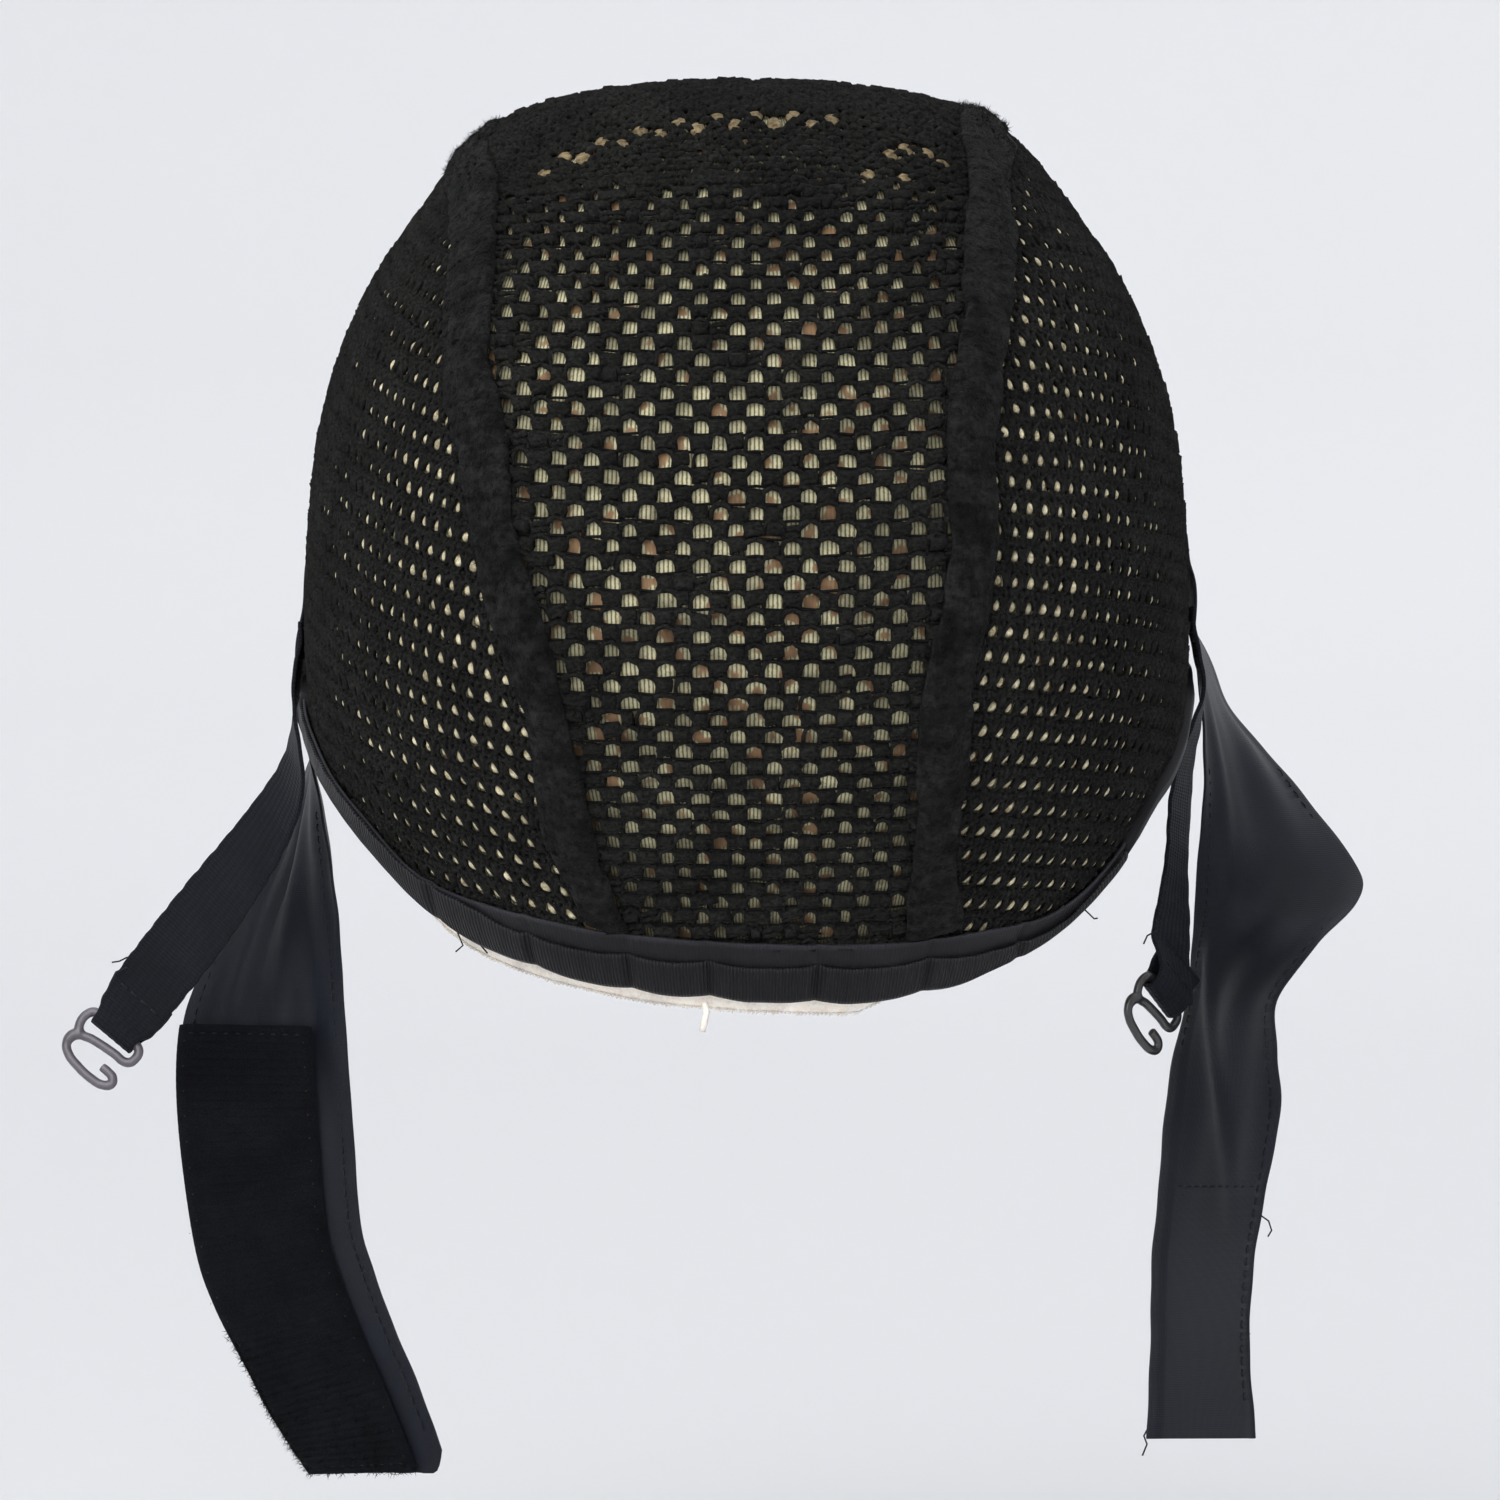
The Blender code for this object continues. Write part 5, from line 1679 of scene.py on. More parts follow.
def binding_profile(around, share):
    seen = wrapped(around)
    low = rim_drop(seen)
    high = satin_top(seen)
    top = TRIM_GAP + SATIN_WALL
    middle = (top - BINDING_REACHES_IN) / 2
    half = (top + BINDING_REACHES_IN) / 2
    drop, lift = rounded(share, (low + high) / 2, (low - high) / 2, middle, half, 0.35)
    return drop, lift + 0.08 * np.sin(around * 2.1) + 0.06 * np.sin(around * 5.3)


binding_start = BAND_RIGHT_END + BAND_PARTING
binding_end = 360 + BAND_LEFT_END - BAND_PARTING
binding = rim_strip("rim_binding", binding_start, binding_end, BINDING_RINGS, binding_profile)
binding_satin = cloth(
    "binding satin", (0.004, 0.004, 0.005), (0.012, 0.012, 0.0145), 0.5, 0.3, 0.05, 0.03, shine=0.15
)
finish_piece(binding, binding_satin, "dark_satin", "edge_binding")

# %% [markdown]
# ## The straps
# Each strap is one length of cloth that bends freely, so it is laid through rows: one edge, the
# middle and the other edge at each place along it, seen from the back. The first rows are sewn
# to the side of the cap. A laying function reads the rows smoothly and adds the small folds.

# %% Rows of the wide straps and the elastics
Sewn = namedtuple("Sewn", "around_a around_b drop lift")
Edge = namedtuple("Edge", "x_a drop_a y_a x_b drop_b y_b bow", defaults=(0.0,))
WIDE_WALL = 1.0
WIDE_LEFT_SEWN = (
    Sewn(-118, -98, 91, 1.4),
    Sewn(-118, -98, 98, 1.7),
    Sewn(-118, -98, 107, 3.2),
)
WIDE_LEFT = (
    Edge(-82.0, 118.0, 39, -86.2, 118.5, 10),
    Edge(-85.5, 129.0, 39, -83.0, 129.5, 9),
    Edge(-91.5, 145.0, 38, -80.8, 145.5, 10),
    Edge(-100.5, 159.5, 35, -79.0, 159.0, 14),
    Edge(-107.5, 173.4, 28, -77.7, 172.5, 16),
    Edge(-109.9, 184.0, 24, -76.8, 183.5, 17),
    Edge(-109.6, 200.0, 23, -75.8, 199.0, 18),
    Edge(-106.6, 222.0, 24, -74.5, 217.0, 18),
    Edge(-102.8, 233.8, 25, -71.8, 226.7, 17),
    Edge(-96.6, 245.8, 26, -67.8, 237.3, 15),
    Edge(-91.4, 255.7, 27, -63.1, 248.0, 13),
    Edge(-84.1, 266.6, 27, -56.8, 265.0, 11),
)
WIDE_RIGHT_SEWN = (
    Sewn(98, 118, 85, 1.4),
    Sewn(98, 118, 90, 1.6),
    Sewn(98, 118, 95, 2.8),
)
WIDE_RIGHT = (
    Edge(85.6, 105.0, 11, 88.4, 104.5, 40),
    Edge(86.6, 116.8, 8, 94.2, 117.5, 38),
    Edge(86.8, 126.3, 8, 101.6, 126.7, 35),
    Edge(86.8, 135.9, 9, 108.9, 136.4, 31),
    Edge(86.2, 147.4, 10, 116.5, 148.7, 20),
    Edge(85.9, 156.1, 13, 116.4, 156.0, 10),
    Edge(85.5, 164.8, 17, 108.3, 163.5, -3),
    Edge(84.9, 174.5, 19, 99.9, 173.5, -9),
    Edge(82.7, 185.0, 19, 99.7, 183.9, -8),
    Edge(81.3, 196.5, 18, 100.4, 194.7, -8),
    Edge(80.0, 211.0, 18, 98.0, 209.4, -8),
    Edge(78.6, 224.4, 18, 95.7, 222.6, -9),
    Edge(78.3, 239.8, 17, 94.8, 238.7, -9),
    Edge(77.5, 259.0, 17, 96.1, 256.3, -8),
)
ELASTIC_LEFT_SEWN = (
    Sewn(-94.5, -86, 102, 1.1),
    Sewn(-94.5, -86, 106, 1.2),
    Sewn(-94.5, -86, 112, 2.5),
)
ELASTIC_LEFT = (
    Edge(-86.2, 118.5, 7, -85.6, 119.5, -5),
    Edge(-88.6, 128.0, 7, -84.0, 134.0, -5),
    Edge(-95.6, 138.4, 4, -88.2, 146.5, -4),
    Edge(-107.7, 153.0, 1, -97.6, 161.7, -3),
    Edge(-118.6, 167.0, 0, -108.4, 175.6, -3),
)
ELASTIC_RIGHT_SEWN = (
    Sewn(86, 94.5, 99, 1.1),
    Sewn(86, 94.5, 103, 1.2),
    Sewn(86, 94.5, 109, 2.5),
)
ELASTIC_RIGHT = (
    Edge(86.4, 115.0, -6, 86.9, 115.0, 6.5),
    Edge(84.2, 121.5, -6, 86.4, 121.5, 6.5),
    Edge(81.8, 128.0, -5, 85.2, 128.5, 7.5),
    Edge(80.1, 135.5, -5, 84.6, 137.0, 7.5),
    Edge(79.4, 146.0, -5, 84.0, 148.5, 7),
    Edge(77.9, 154.5, -6, 84.2, 159.5, 4.5),
    Edge(76.6, 161.0, -7, 84.0, 167.0, 1.5),
)
Loop = namedtuple("Loop", "x drop y across_x across_up across_y out_x out_up out_y")
LOOP_LEFT = Loop(-119.6, 179.4, -1.5, 0.77, -0.63, -0.12, -0.63, -0.77, -0.05)
LOOP_RIGHT = Loop(78.8, 172.6, -5.0, 0.52, -0.67, 0.53, -0.46, -0.67, -0.41)
Fold = namedtuple("Fold", "along off half_width")
LOOP_FOLDS = (
    Fold(-3.6, 0.95, 6.2),
    Fold(-1.5, 1.55, 5.2),
    Fold(0.0, 1.65, 4.9),
    Fold(1.17, 1.17, 4.8),
    Fold(1.65, 0.0, 4.8),
    Fold(1.17, -1.17, 4.8),
    Fold(0.0, -1.65, 4.9),
    Fold(-1.5, -1.5, 5.2),
    Fold(-3.6, -1.0, 6.1),
    Fold(-9.0, -0.75, 6.4),
)

# %% Read a strap's rows as a surface
def strap_rows(sewn, free):
    """Edge, middle and edge of a strap at each row, the sewn rows first."""
    rows = []
    for row in sewn:
        angles = np.array((row.around_a, (row.around_a + row.around_b) / 2, row.around_b))
        rows.append(at_drop(angles, float(row.drop), float(row.lift)))
    for row in free:
        a = np.array((row.x_a, row.y_a, CROWN_HEIGHT - row.drop_a))
        b = np.array((row.x_b, row.y_b, CROWN_HEIGHT - row.drop_b))
        face = unit(np.cross((0, 0, -1.0), b - a))
        rows.append(np.array((a, (a + b) / 2 + face * row.bow, b)))
    return rows


def loop_frame(loop):
    """The fold's middle, and the ways across the strap, out of its end and off its face."""
    middle = np.array((loop.x, loop.y, CROWN_HEIGHT - loop.drop))
    across = unit(np.array((loop.across_x, loop.across_y, loop.across_up)))
    out = np.array((loop.out_x, loop.out_y, loop.out_up))
    out = unit(out - across * np.dot(out, across))
    return middle, across, out, np.cross(out, across)


def elastic_rows(sewn, free, loop):
    """A strap whose end folds round the hook's bar and comes back along its own inner face."""
    middle, across, out, off = loop_frame(loop)
    rows = strap_rows(sewn, free)
    for fold in LOOP_FOLDS:
        point = middle + out * fold.along + off * fold.off
        side = across * fold.half_width
        rows.append(np.array((point - side, point, point + side)))
    return rows


STRAP_STEPS = 241
STEP_ALONG = 0.01
STEP_ACROSS = 0.05


def strap_surface(rows):
    """A surface by shares along and across, with a lift off its face, and the strap's length."""
    table = smooth_table(range(len(rows)), rows)
    steps = np.linspace(0, len(rows) - 1, STRAP_STEPS)
    middles = table(steps)[:, 1]
    run = np.concatenate(([0.0], np.cumsum(np.linalg.norm(np.diff(middles, axis=0), axis=1))))

    def face(along, across):
        places = table(np.interp(along * run[-1], run, steps))
        a, middle, b = places[:, 0], places[:, 1], places[:, 2]
        across = across[:, None]
        return a * (1 - across) + b * across + (middle - (a + b) / 2) * 4 * across * (1 - across)

    def at(along, across, lift=0.0):
        along, across, lift = np.broadcast_arrays(along, across, lift)
        ahead, behind = np.minimum(1, along + STEP_ALONG), np.maximum(0, along - STEP_ALONG)
        right, left = np.minimum(1, across + STEP_ACROSS), np.maximum(0, across - STEP_ACROSS)
        forward = face(ahead, across) - face(behind, across)
        sideways = face(along, right) - face(along, left)
        return face(along, across) + unit(np.cross(forward, sideways)) * lift[:, None]

    return at, run[-1]


# %% [markdown]
# ## Wide straps
# These are navy satin, cut on the straight and pressed flat, with an edge turned under on each
# side. Soft folds run down the left one where it turns over. The right one is twisted near its
# top, so it shows its other face below the twist.

# %% Mix the navy satin
navy_satin = cloth(
    "navy satin", (0.0026, 0.004, 0.008), (0.008, 0.0105, 0.021), 0.48, 0.25, 0.03, 0.04,
    ribs=(Ribs("X", 90, 0.03, 0.2), Ribs("Y", 420, 0.03, 0.15)), broad=20.0, shine=0.2,
)

# %% Lay the wide straps
EDGE_TURN = 0.055
TURN_LIFT = 0.14
PUCKER = 0.09
PUCKER_LENGTH = 1.9
PUCKER_REACH = 1.4
BEND_AT = 0.397
BEND_POINT = 0.03


def wide_folds_left(along, across):
    """Soft folds that start at the seam and fade below the turn."""
    fade = smooth_step(0.2, 0.3, along) * (1 - smooth_step(0.5, 0.66, along))
    gather = 0.9 * np.sin(across * 10.0 + along * 6.0) + 0.5 * np.sin(across * 23.0 - along * 14.0)
    crease = 0.9 * np.exp(-(((across - 0.36 - 0.5 * (along - 0.35)) / 0.05) ** 2))
    return (gather - crease) * fade


def wide_folds_right(along, across):
    """A fold down the outer edge, a crease where the strap turns, and a soft swell below."""
    fade = smooth_step(0.12, 0.25, along) * (1 - smooth_step(0.62, 0.8, along))
    swell = 0.5 * np.sin(across * 8.0 - along * 16.0) + 0.3 * np.sin(across * 17.0 + along * 9.0)
    at_crease = across - 0.2 - 1.9 * (along - 0.5)
    crease = 1.1 * np.exp(-((at_crease / 0.07) ** 2)) * smooth_step(0.42, 0.5, along)
    upper = 0.9 * np.exp(-(((across - 0.22 + 0.5 * (along - 0.25)) / 0.06) ** 2)) * (along < 0.42)
    edge_fold = 0.45 * (across < 0.12) * smooth_step(0.45, 0.5, along)
    return (swell + crease + upper) * fade + edge_fold


def round_corner(along, across):
    """The left strap's lower corner is cut round."""
    cut = np.clip((across - 0.86) / 0.14, 0, 1) ** 2
    wavy = 0.0008 * np.sin(across * 31) * (along > 0.97)
    return np.clip(along * (1 - 0.022 * cut * smooth_step(0.9, 1.0, along)) + wavy, 0, 1), across


def sharpen_bend(along, across):
    """The right strap's twist comes to a point at its outer edge."""
    near = np.exp(-(((along - BEND_AT) / 0.035) ** 2)) * np.clip(across, 0, 1) ** 2
    return along, across + BEND_POINT * near


def wide_strap(name, surface, folds, corners, node, length):
    def lay(across, along):
        turned = np.minimum(across, 1 - across)
        puckered = turned < EDGE_TURN * PUCKER_REACH
        pucker = PUCKER * np.sin(along * length / PUCKER_LENGTH) * puckered
        along, across = corners(along, across)
        return surface(along, across, folds(along, across) + pucker + TURN_LIFT * (turned < EDGE_TURN))

    strap = sheet(name, 32, 180, lay, 0.55, 0.15)
    finish_piece(strap, navy_satin, "navy_satin", node)
    return strap


wide_left, wide_left_length = strap_surface(strap_rows(WIDE_LEFT_SEWN, WIDE_LEFT))
wide_right, wide_right_length = strap_surface(strap_rows(WIDE_RIGHT_SEWN, WIDE_RIGHT))
left_strap = wide_strap(
    "satin_strap_left", wide_left, wide_folds_left, round_corner, "wide_strap_left", wide_left_length
)
right_strap = wide_strap(
    "satin_strap_right", wide_right, wide_folds_right, sharpen_bend, "wide_strap_right", wide_right_length
)
print("wide straps are", round(wide_left_length), "and", round(wide_right_length), "mm long")

# %% [markdown]
# ## Hook-and-loop patches
# A matt black patch is sewn to the left strap's outer face, and its mate to the right strap's
# inner face. The loop side is ribbed across, and loose fibres stand out along its edges. The ribs
# are modelled, row by row, and the fibres are planted as on the tapes.

# %% Sew on the patches
Patch = namedtuple("Patch", "start end from_a to_b side")
PATCH_LEFT = Patch(0.50, 0.996, 0.0, 0.80, 1)
PATCH_RIGHT = Patch(0.735, 0.985, 0.08, 0.92, -1)
PATCH_GAP = 0.35
PATCH_RIB = 1.55
PATCH_RIB_HEIGHT = 0.28
PATCH_RIB_ROUND = 0.7
PATCH_EDGE = 0.05
PATCH_BASE = 0.3
PATCH_PILE = 0.55
PATCH_FIBRES = 1500
PATCH_FIBRE = (0.9, 0.14)
FRAY = (2.0, 0.2)
FRAYED_LEFT = 1700
FRAYED_RIGHT = 200
FRAYED_BELOW = -235.0

napped_patch = cloth(
    "matt black nap", (0.0015, 0.0018, 0.0026), (0.011, 0.0118, 0.015), 1.0, 0.3, 0.25, 0.02, broad=12.0
)


def low_edges(centres, normals):
    """The patch's side faces near its foot, where it is frayed."""
    return (np.abs(normals[:, 1]) < 0.7) & (normals[:, 0] < 0.3) & (centres[:, 2] < FRAYED_BELOW)


def touch_patch(name, surface, patch, node, length, seed, frays):
    ribs = round(length * (patch.end - patch.start) / PATCH_RIB)

    def lay(across, along):
        down = patch.start + (patch.end - patch.start) * along
        over = patch.from_a + (patch.to_b - patch.from_a) * across
        wave = PATCH_RIB_HEIGHT * np.abs(np.sin(along * ribs * np.pi)) ** PATCH_RIB_ROUND
        edge = smooth_step(0.0, PATCH_EDGE, np.minimum(across, 1 - across))
        off_strap = WIDE_WALL / 2 + PATCH_GAP + PATCH_BASE + (PATCH_PILE + wave) * edge
        return surface(down, over, patch.side * off_strap)

    piece = sheet(name, 20, ribs * 5, lay, 0.6, 0.1)
    nap = fibres_on(piece, PATCH_FIBRES, *PATCH_FIBRE, seed)
    frayed = fibres_on(piece, frays, *FRAY, seed + 5, low_edges)
    piece = join(name, [piece, nap, frayed])
    return finish_piece(piece, napped_patch, "black_touch", node)


left_patch = touch_patch(
    "loop_patch_left", wide_left, PATCH_LEFT, "touch_patch_left", wide_left_length, 71, FRAYED_LEFT
)
right_patch = touch_patch(
    "loop_patch_right", wide_right, PATCH_RIGHT, "touch_patch_right", wide_right_length, 72, FRAYED_RIGHT
)

# %% [markdown]
# ## Elastics
# The narrow elastics are woven in fine ribs across their width, and their edges are slightly
# scalloped by the rubber inside. Each one runs through the hook's ring, folds back and is sewn
# down on itself, so the laying function simply follows the fold.

# %% Lay the elastics
ribbed_elastic = cloth(
    "ribbed elastic", (0.003, 0.004, 0.0075), (0.012, 0.014, 0.022), 0.6, 0.25, 0.05, 0.03,
    ribs=(Ribs("Y", 150, 0.10, 0.4), Ribs("X", 9, 0.08, 0.25)), broad=10.0, shine=0.12,
)


RUBBER_SCALLOP = 0.012
RUBBER_STEP = 0.75
RIB_LIFT = 0.05
RIB_STEP = 0.9
CORD_LIFT = 0.04
CORD_RATE = 40


def elastic(name, surface, node, length):
    def lay(across, along):
        scallop = RUBBER_SCALLOP * np.sin(along * length / RUBBER_STEP) * (2 * across - 1)
        over = np.clip(across + scallop, 0, 1)
        ribs = RIB_LIFT * np.sin(along * length / RIB_STEP)
        return surface(along, over, CORD_LIFT * np.sin(across * CORD_RATE) + ribs)

    strap = sheet(name, 12, 260, lay, 0.8, 0.2)
    return finish_piece(strap, ribbed_elastic, "black_elastic", node)


left_rows = elastic_rows(ELASTIC_LEFT_SEWN, ELASTIC_LEFT, LOOP_LEFT)
right_rows = elastic_rows(ELASTIC_RIGHT_SEWN, ELASTIC_RIGHT, LOOP_RIGHT)
elastic_left, elastic_left_length = strap_surface(left_rows)
elastic_right, elastic_right_length = strap_surface(right_rows)
left_elastic = elastic("elastic_left", elastic_left, "elastic_strap_left", elastic_left_length)
right_elastic = elastic("elastic_right", elastic_right, "elastic_strap_right", elastic_right_length)
print("elastics are", round(elastic_left_length), "and", round(elastic_right_length), "mm long")

# %% [markdown]
# ## Hooks
# Each hook is one moulded piece, like a capital G: a flat ring whose straight side runs through
# the elastic's loop, and a curl that hooks on to the other side. Two curves draw the ring and the
# curl. They are turned into one skin by a remesh, which also rounds the place where they join.

# %% Bend the hooks
HOOK_WIRE = 0.92
HOOK_NECK = 1.15
HOOK_FLATNESS = 0.85
HOOK_SIDES_LEVEL = 6
HOOK_VOXEL = 0.24
Bend = namedtuple("Bend", "along out")
HOOK_RING = (
    Bend(-5.2, 0.0),
    Bend(5.2, 0.0),
    Bend(6.1, 0.7),
    Bend(6.3, 2.0),
    Bend(6.0, 3.2),
    Bend(4.9, 3.8),
    Bend(3.0, 3.8),
    Bend(0.5, 4.0),
    Bend(-2.5, 4.4),
    Bend(-5.0, 4.9),
    Bend(-6.2, 3.6),
    Bend(-6.1, 0.9),
)
HOOK_CURL = (
    Bend(-4.9, 4.9),
    Bend(-5.9, 6.4),
    Bend(-5.7, 8.1),
    Bend(-4.3, 9.3),
    Bend(-1.5, 10.0),
    Bend(2.2, 10.2),
    Bend(4.8, 9.7),
    Bend(5.9, 8.6),
    Bend(5.3, 7.5),
    Bend(3.9, 7.2),
    Bend(2.3, 7.2),
)


def wire(bends, closed):
    """A smooth wire through bends, drawn flat in the plane of the hook."""
    path = bpy.data.curves.new("wire", "CURVE")
    path.dimensions = "3D"
    path.bevel_depth = HOOK_WIRE * MM
    path.bevel_resolution = HOOK_SIDES_LEVEL
    path.use_fill_caps = True
    run = path.splines.new("BEZIER")
    run.bezier_points.add(len(bends) - 1)
    run.resolution_u = 10
    run.use_cyclic_u = closed
    for place, (knot, bend) in enumerate(zip(run.bezier_points, bends)):
        knot.co = (bend.along * MM, bend.out * MM, 0)
        knot.handle_left_type = "AUTO"
        knot.handle_right_type = "AUTO"
        knot.radius = HOOK_NECK / HOOK_WIRE if not closed and place < 2 else 1.0
    made = bpy.data.objects.new("wire", path)
    bpy.context.collection.objects.link(made)
    only(made)
    bpy.ops.object.convert(target="MESH")
    return bpy.context.object


def hook(name, loop, material, node):
    start_clean()
    made = join(name, [wire(HOOK_RING, True), wire(HOOK_CURL, False)])
    face_outwards(made, merge=True)
    skin = made.modifiers.new("skin", "REMESH")
    skin.mode = "VOXEL"
    skin.voxel_size = HOOK_VOXEL * MM
    bpy.ops.object.modifier_apply(modifier="skin")
    soften = made.modifiers.new("soften", "SMOOTH")
    soften.factor = 0.5
    soften.iterations = 6
    bpy.ops.object.modifier_apply(modifier="soften")
    middle, across, out, off = loop_frame(loop)
    flat = points_of(made)
    placed = middle + flat[:, :1] * across + flat[:, 1:2] * out + flat[:, 2:] * off * HOOK_FLATNESS
    move_points(made, placed)
    if np.linalg.det(np.stack((across, out, off))) < 0:
        edit(made)
        bpy.ops.mesh.select_all(action="SELECT")
        bpy.ops.mesh.flip_normals()
        leave_edit()
    return finish_piece(made, material, "grey_hook", node)


def glossy(name, dark, light, roughness):
    material = cloth(name, dark, light, roughness, 2.0, 0.02, 0.0, broad=6.0)
    shader = material.node_tree.nodes["Principled BSDF"]
    shader.inputs["Specular IOR Level"].default_value = 0.6
    shader.inputs["Coat Weight"].default_value = 0.4
    shader.inputs["Coat Roughness"].default_value = 0.15
    return material


pale_hook = glossy("glossy grey plastic", (0.07, 0.062, 0.075), (0.11, 0.1, 0.115), 0.32)
dark_hook = glossy("glossy dark plastic", (0.016, 0.016, 0.018), (0.03, 0.03, 0.032), 0.3)
left_hook = hook("g_hook_left", LOOP_LEFT, pale_hook, "strap_hook_left")
right_hook = hook("g_hook_right", LOOP_RIGHT, dark_hook, "strap_hook_right")

# %% [markdown]
# ## Sewing thread
# The straps' turned edges and the patches are held by rows of small stitches. One stitch is a
# short bent strand. It is repeated by an array, and each copy is laid on the strap's own surface,
# along a straight line between two places. Here and there a cut end of thread is left hanging.

# %% Sew rows of stitches
STITCH_LENGTH = 1.5
STITCH_SPACING = 2.3
STITCH_THICK = 0.3


def stitch_row(surface, length, width, start, end, lift):
    """A row of stitches between two places, each given as shares along and across."""
    way = np.array(((end[0] - start[0]) * length, (end[1] - start[1]) * width))
    count = max(2, int(np.hypot(*way) / STITCH_SPACING))
    way = way / np.hypot(*way)
    half = STITCH_LENGTH / 2
    row = yarn(((-half, 0, -0.15), (0, 0, 0.12), (half, 0, -0.15)), STITCH_THICK)
    local = copies_of(row, count)
    share = (np.arange(count) + 0.5) / count
    along = start[0] + (end[0] - start[0]) * share[:, None]
    across = start[1] + (end[1] - start[1]) * share[:, None]
    along = along + (local[..., 0] * way[0] - local[..., 1] * way[1]) / length
    across = across + (local[..., 0] * way[1] + local[..., 1] * way[0]) / width
    lifts = lift + np.sign(lift) * local[..., 2]
    move_points(row, surface(along.ravel(), across.ravel(), lifts.ravel()))
    return row


WIDE_WIDTH = 33.0
ELASTIC_WIDTH = 13.0
PATCH_THICK = 1.15
PATCH_TOP = WIDE_WALL / 2 + PATCH_GAP + PATCH_THICK
IN_FROM_END = 0.009
IN_FROM_SIDE = 0.045
EDGE_ROWS = (0.07, 0.93)
EDGE_ROW_START = 0.26
EDGE_ROW_END = 0.96
SEWN_LIFT = 0.5
MATE_ROW = ((0.735, 0.14), (0.735, 0.9))
LOOP_ROW = ((0.79, 0.12), (0.79, 0.88))
LOOP_LIFT = 0.62
rows = []
for patch, surface, length in (
    (PATCH_LEFT, wide_left, wide_left_length),
    (PATCH_RIGHT, wide_right, wide_right_length),
):
    top, foot = patch.start + IN_FROM_END, patch.end - IN_FROM_END
    a, b = patch.from_a + IN_FROM_SIDE, patch.to_b - IN_FROM_SIDE
    corners = ((top, a), (top, b), (foot, b), (foot, a), (top, a))
    for start, end in zip(corners, corners[1:]):
        rows.append(stitch_row(surface, length, WIDE_WIDTH, start, end, patch.side * PATCH_TOP))
for surface, length in ((wide_left, wide_left_length), (wide_right, wide_right_length)):
    for across in EDGE_ROWS:
        start, end = (EDGE_ROW_START, across), (EDGE_ROW_END, across)
        rows.append(stitch_row(surface, length, WIDE_WIDTH, start, end, SEWN_LIFT))
rows.append(stitch_row(wide_right, wide_right_length, WIDE_WIDTH, *MATE_ROW, SEWN_LIFT))
for surface, length in ((elastic_left, elastic_left_length), (elastic_right, elastic_right_length)):
    rows.append(stitch_row(surface, length, ELASTIC_WIDTH, *LOOP_ROW, LOOP_LIFT))
thread_rows = join("sewing_rows", rows)
black_thread = cloth(
    "black sewing thread", (0.006, 0.006, 0.008), (0.03, 0.03, 0.035), 0.6, 0.3, 0.05, 0.05
)
finish_piece(thread_rows, black_thread, "black_knit")

# %% Leave a few cut ends of thread
THREAD_ENDS = (
    ((-49.7, -64.5, -151.7), (-48.6, -66.0, -154.6), (-48.3, -66.0, -157.0), (-46.7, -65.0, -159.0)),
    ((-52.2, -62.0, -155.4), (-51.2, -63.5, -157.6), (-52.6, -62.0, -158.8)),
    ((60.0, -43.0, -149.6), (61.5, -44.5, -151.2), (63.7, -43.0, -153.3), (64.4, -42.5, -153.2)),
    ((97.0, -8.6, -210.2), (98.4, -9.0, -211.2), (99.0, -8.5, -213.0), (98.3, -8.5, -214.2)),
    ((77.4, 17.0, -252.6), (76.4, 16.6, -254.4), (77.0, 16.5, -256.0), (76.1, 16.5, -258.2)),
    ((48.2, -31.5, -8.4), (49.8, -34.0, -10.6), (49.2, -35.0, -13.4)),
    ((-117.6, -3.0, -163.6), (-119.6, -3.2, -164.4), (-120.6, -3.4, -166.4)),
    ((-117.4, -3.0, -161.6), (-119.0, -2.8, -162.4), (-120.4, -3.0, -162.6)),
    ((77.6, -7.0, -156.4), (75.6, -7.6, -157.4), (74.9, -7.4, -159.0)),
)
PINK_END = ((-7.6, -66.8, -167.8), (-7.2, -67.0, -169.4), (-7.6, -66.8, -171.2), (-8.0, -66.6, -173.0))
TIED_TO_RIM = 3
END_THICK = 0.34
PINK_THICK = 1.2
RIM_SEARCH = (-80, 80, 641)
TIED_ABOVE_RIM = 0.8
TIED_LIFT = 1.4


def seen_from_camera(places):
    """Places as the camera sees them, for each millimetre of their distance from it."""
    away = CAMERA_DISTANCE / MM + places[..., 1:2]
    return (places - (0, 0, CAMERA_HEIGHT / MM)) / away


def tied_to_rim(points):
    """A thread seen against the rim is moved towards the camera or away from it till it touches."""
    line = np.linspace(*RIM_SEARCH)
    rim = at_drop(line, rim_drop(line) - TIED_ABOVE_RIM, TIED_LIFT)
    seen = seen_from_camera(np.array(points))
    apart = np.linalg.norm((seen_from_camera(rim) - seen[0])[:, (0, 2)], axis=1)
    root = rim[np.argmin(apart)]
    moved = seen * (CAMERA_DISTANCE / MM + root[1])
    moved[:, 1] = root[1]
    moved[:, 2] += CAMERA_HEIGHT / MM
    return [tuple(place) for place in (root, *moved)]


ends = [yarn(tied_to_rim(points), END_THICK, sides_level=1) for points in THREAD_ENDS[:TIED_TO_RIM]]
ends += [yarn(points, END_THICK, sides_level=1) for points in THREAD_ENDS[TIED_TO_RIM:]]
finish_piece(join("thread_ends", ends), black_thread, "black_knit")

pink_end = yarn(PINK_END, PINK_THICK, sides_level=1)
pink_end.name = "pink_end"
finish_piece(pink_end, cream_edge, "cream_edge")

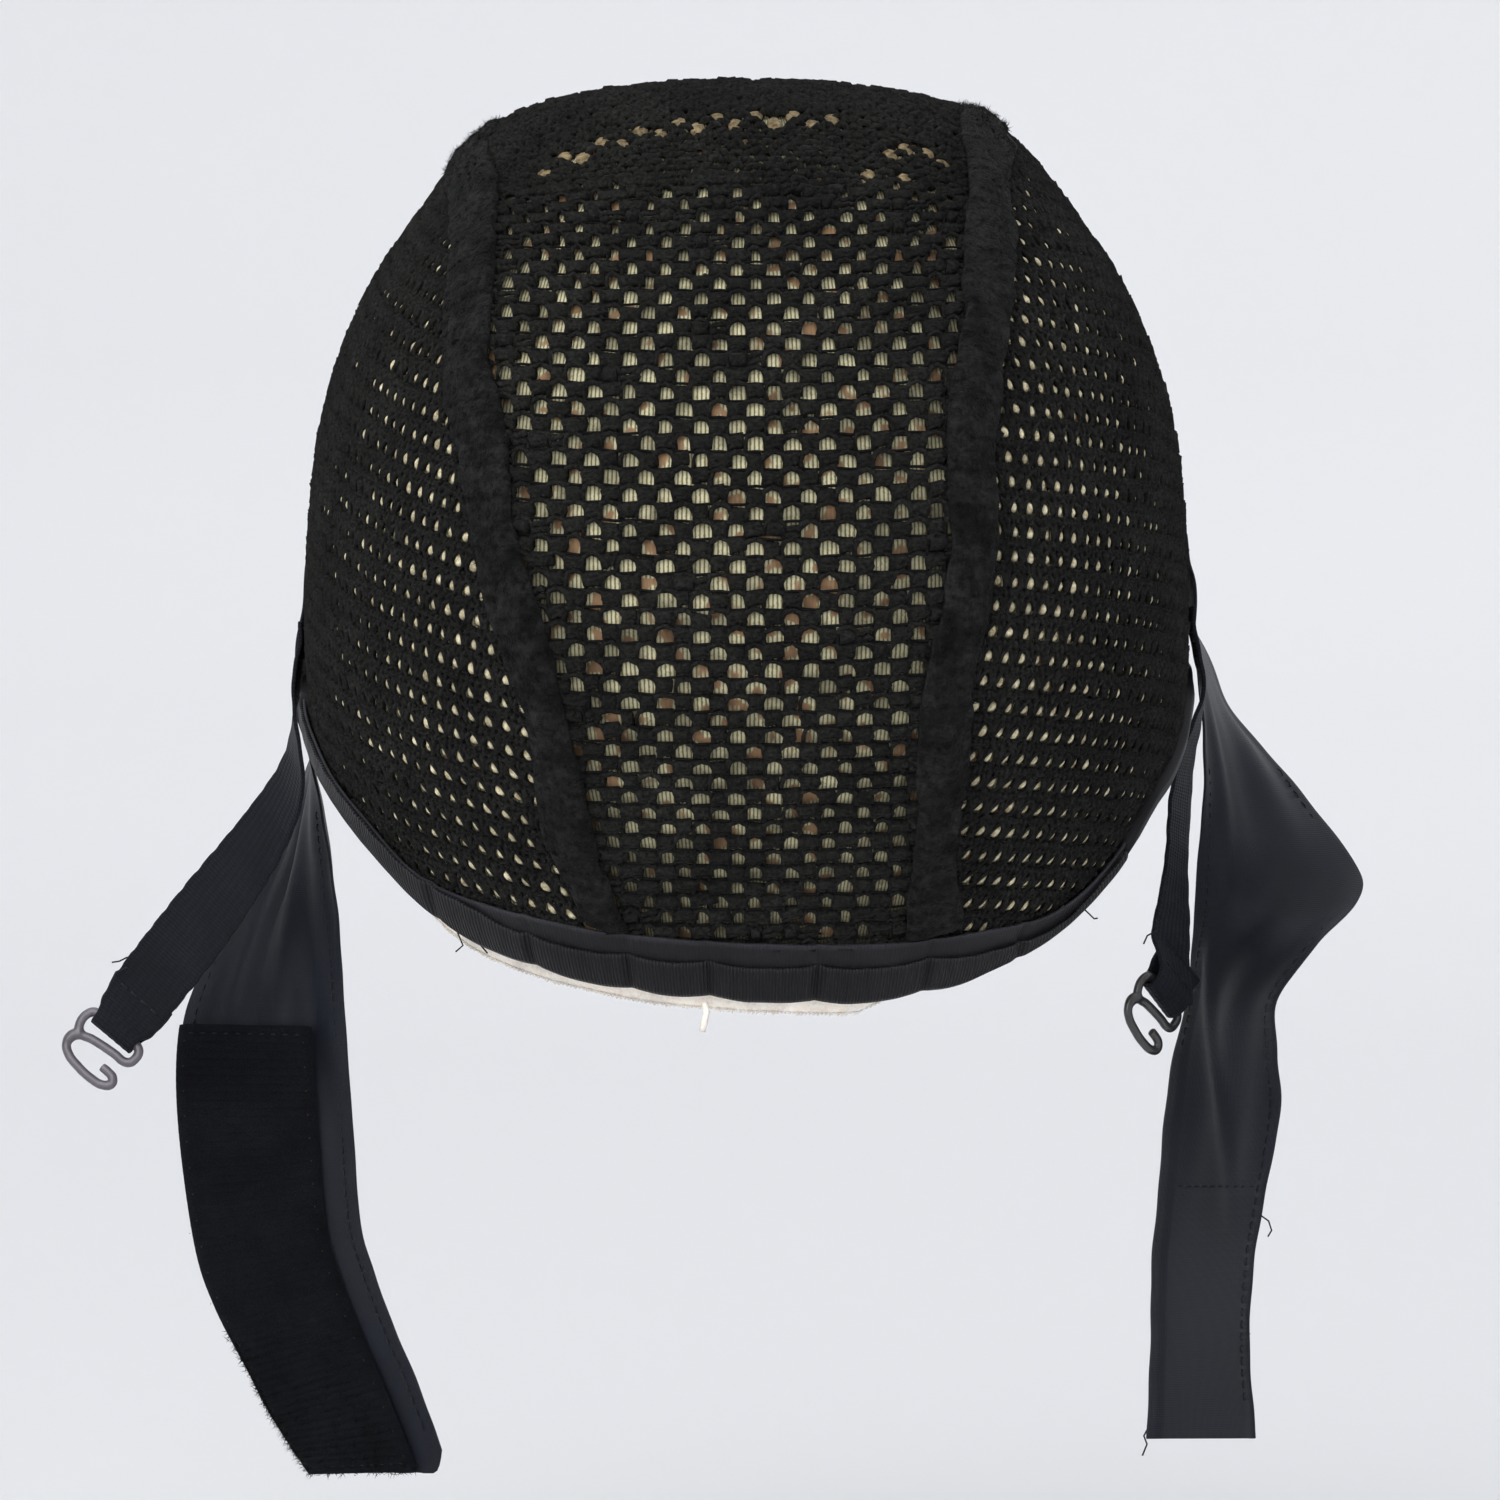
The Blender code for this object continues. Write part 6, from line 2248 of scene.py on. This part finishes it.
# %% [markdown]
# ## The size of each sheet
# The size each sheet has when it is cut and laid flat is printed, with its area. The lengths are
# measured along the pieces, and half of a thin wall's surface is the area of its cloth. The nets
# and tapes are sewn to the liner all round.

# %% Print the sheets' sizes
BINDING_CUT = 10.5


def cloth_area(piece):
    """Half of a thin wall's surface, in square metres."""
    return sum(face.area for face in piece.data.polygons) / 2


def rim_length(start, end):
    """The way along the rim between two angles, in metres."""
    around = wrapped(np.linspace(start, end, 400))
    places = at_drop(around, rim_drop(around))
    return np.linalg.norm(np.diff(places, axis=0), axis=1).sum() * MM


def name_sheet(piece, length, widest=None):
    """A sheet with its length along the middle, and its mean width unless its widest is given."""
    area = cloth_area(piece)
    width = area / length if widest is None else widest * MM
    area = min(area, width * length)
    size = f"{width / MM:.1f} by {length / MM:.0f} mm"
    print(piece.name, "is cut", size + ",", round(area * 1e4), "cm2")


girth = rim_length(-180, 180)
band_length = rim_length(BAND_LEFT_END, BAND_RIGHT_END)
band_depth = satin_depth(np.linspace(BAND_LEFT_END, BAND_RIGHT_END, 100)).max()
name_sheet(back_strip, band_length, widest=band_depth)
name_sheet(front_strip, band_length, widest=band_depth)
name_sheet(binding, rim_length(BAND_RIGHT_END, 360 + BAND_LEFT_END), widest=BINDING_CUT)
name_sheet(left_strap, wide_left_length * MM)
name_sheet(right_strap, wide_right_length * MM)
name_sheet(left_elastic, elastic_left_length * MM)
name_sheet(right_elastic, elastic_right_length * MM)
for piece, patch, strap, strap_length in (
    (left_patch, PATCH_LEFT, left_strap, wide_left_length),
    (right_patch, PATCH_RIGHT, right_strap, wide_right_length),
):
    strap_width = cloth_area(strap) / strap_length / MM**2
    width = (patch.to_b - patch.from_a) * strap_width
    name_sheet(piece, (patch.end - patch.start) * strap_length * MM, widest=width)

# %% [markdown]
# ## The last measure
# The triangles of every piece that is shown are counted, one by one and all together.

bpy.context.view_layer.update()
shown = [piece for piece in bpy.context.scene.objects if piece.type == "MESH" and not piece.hide_render]
for piece in shown:
    print(piece.name, "has", triangles(piece), "triangles")
print("all in all", sum(triangles(piece) for piece in shown), "triangles")
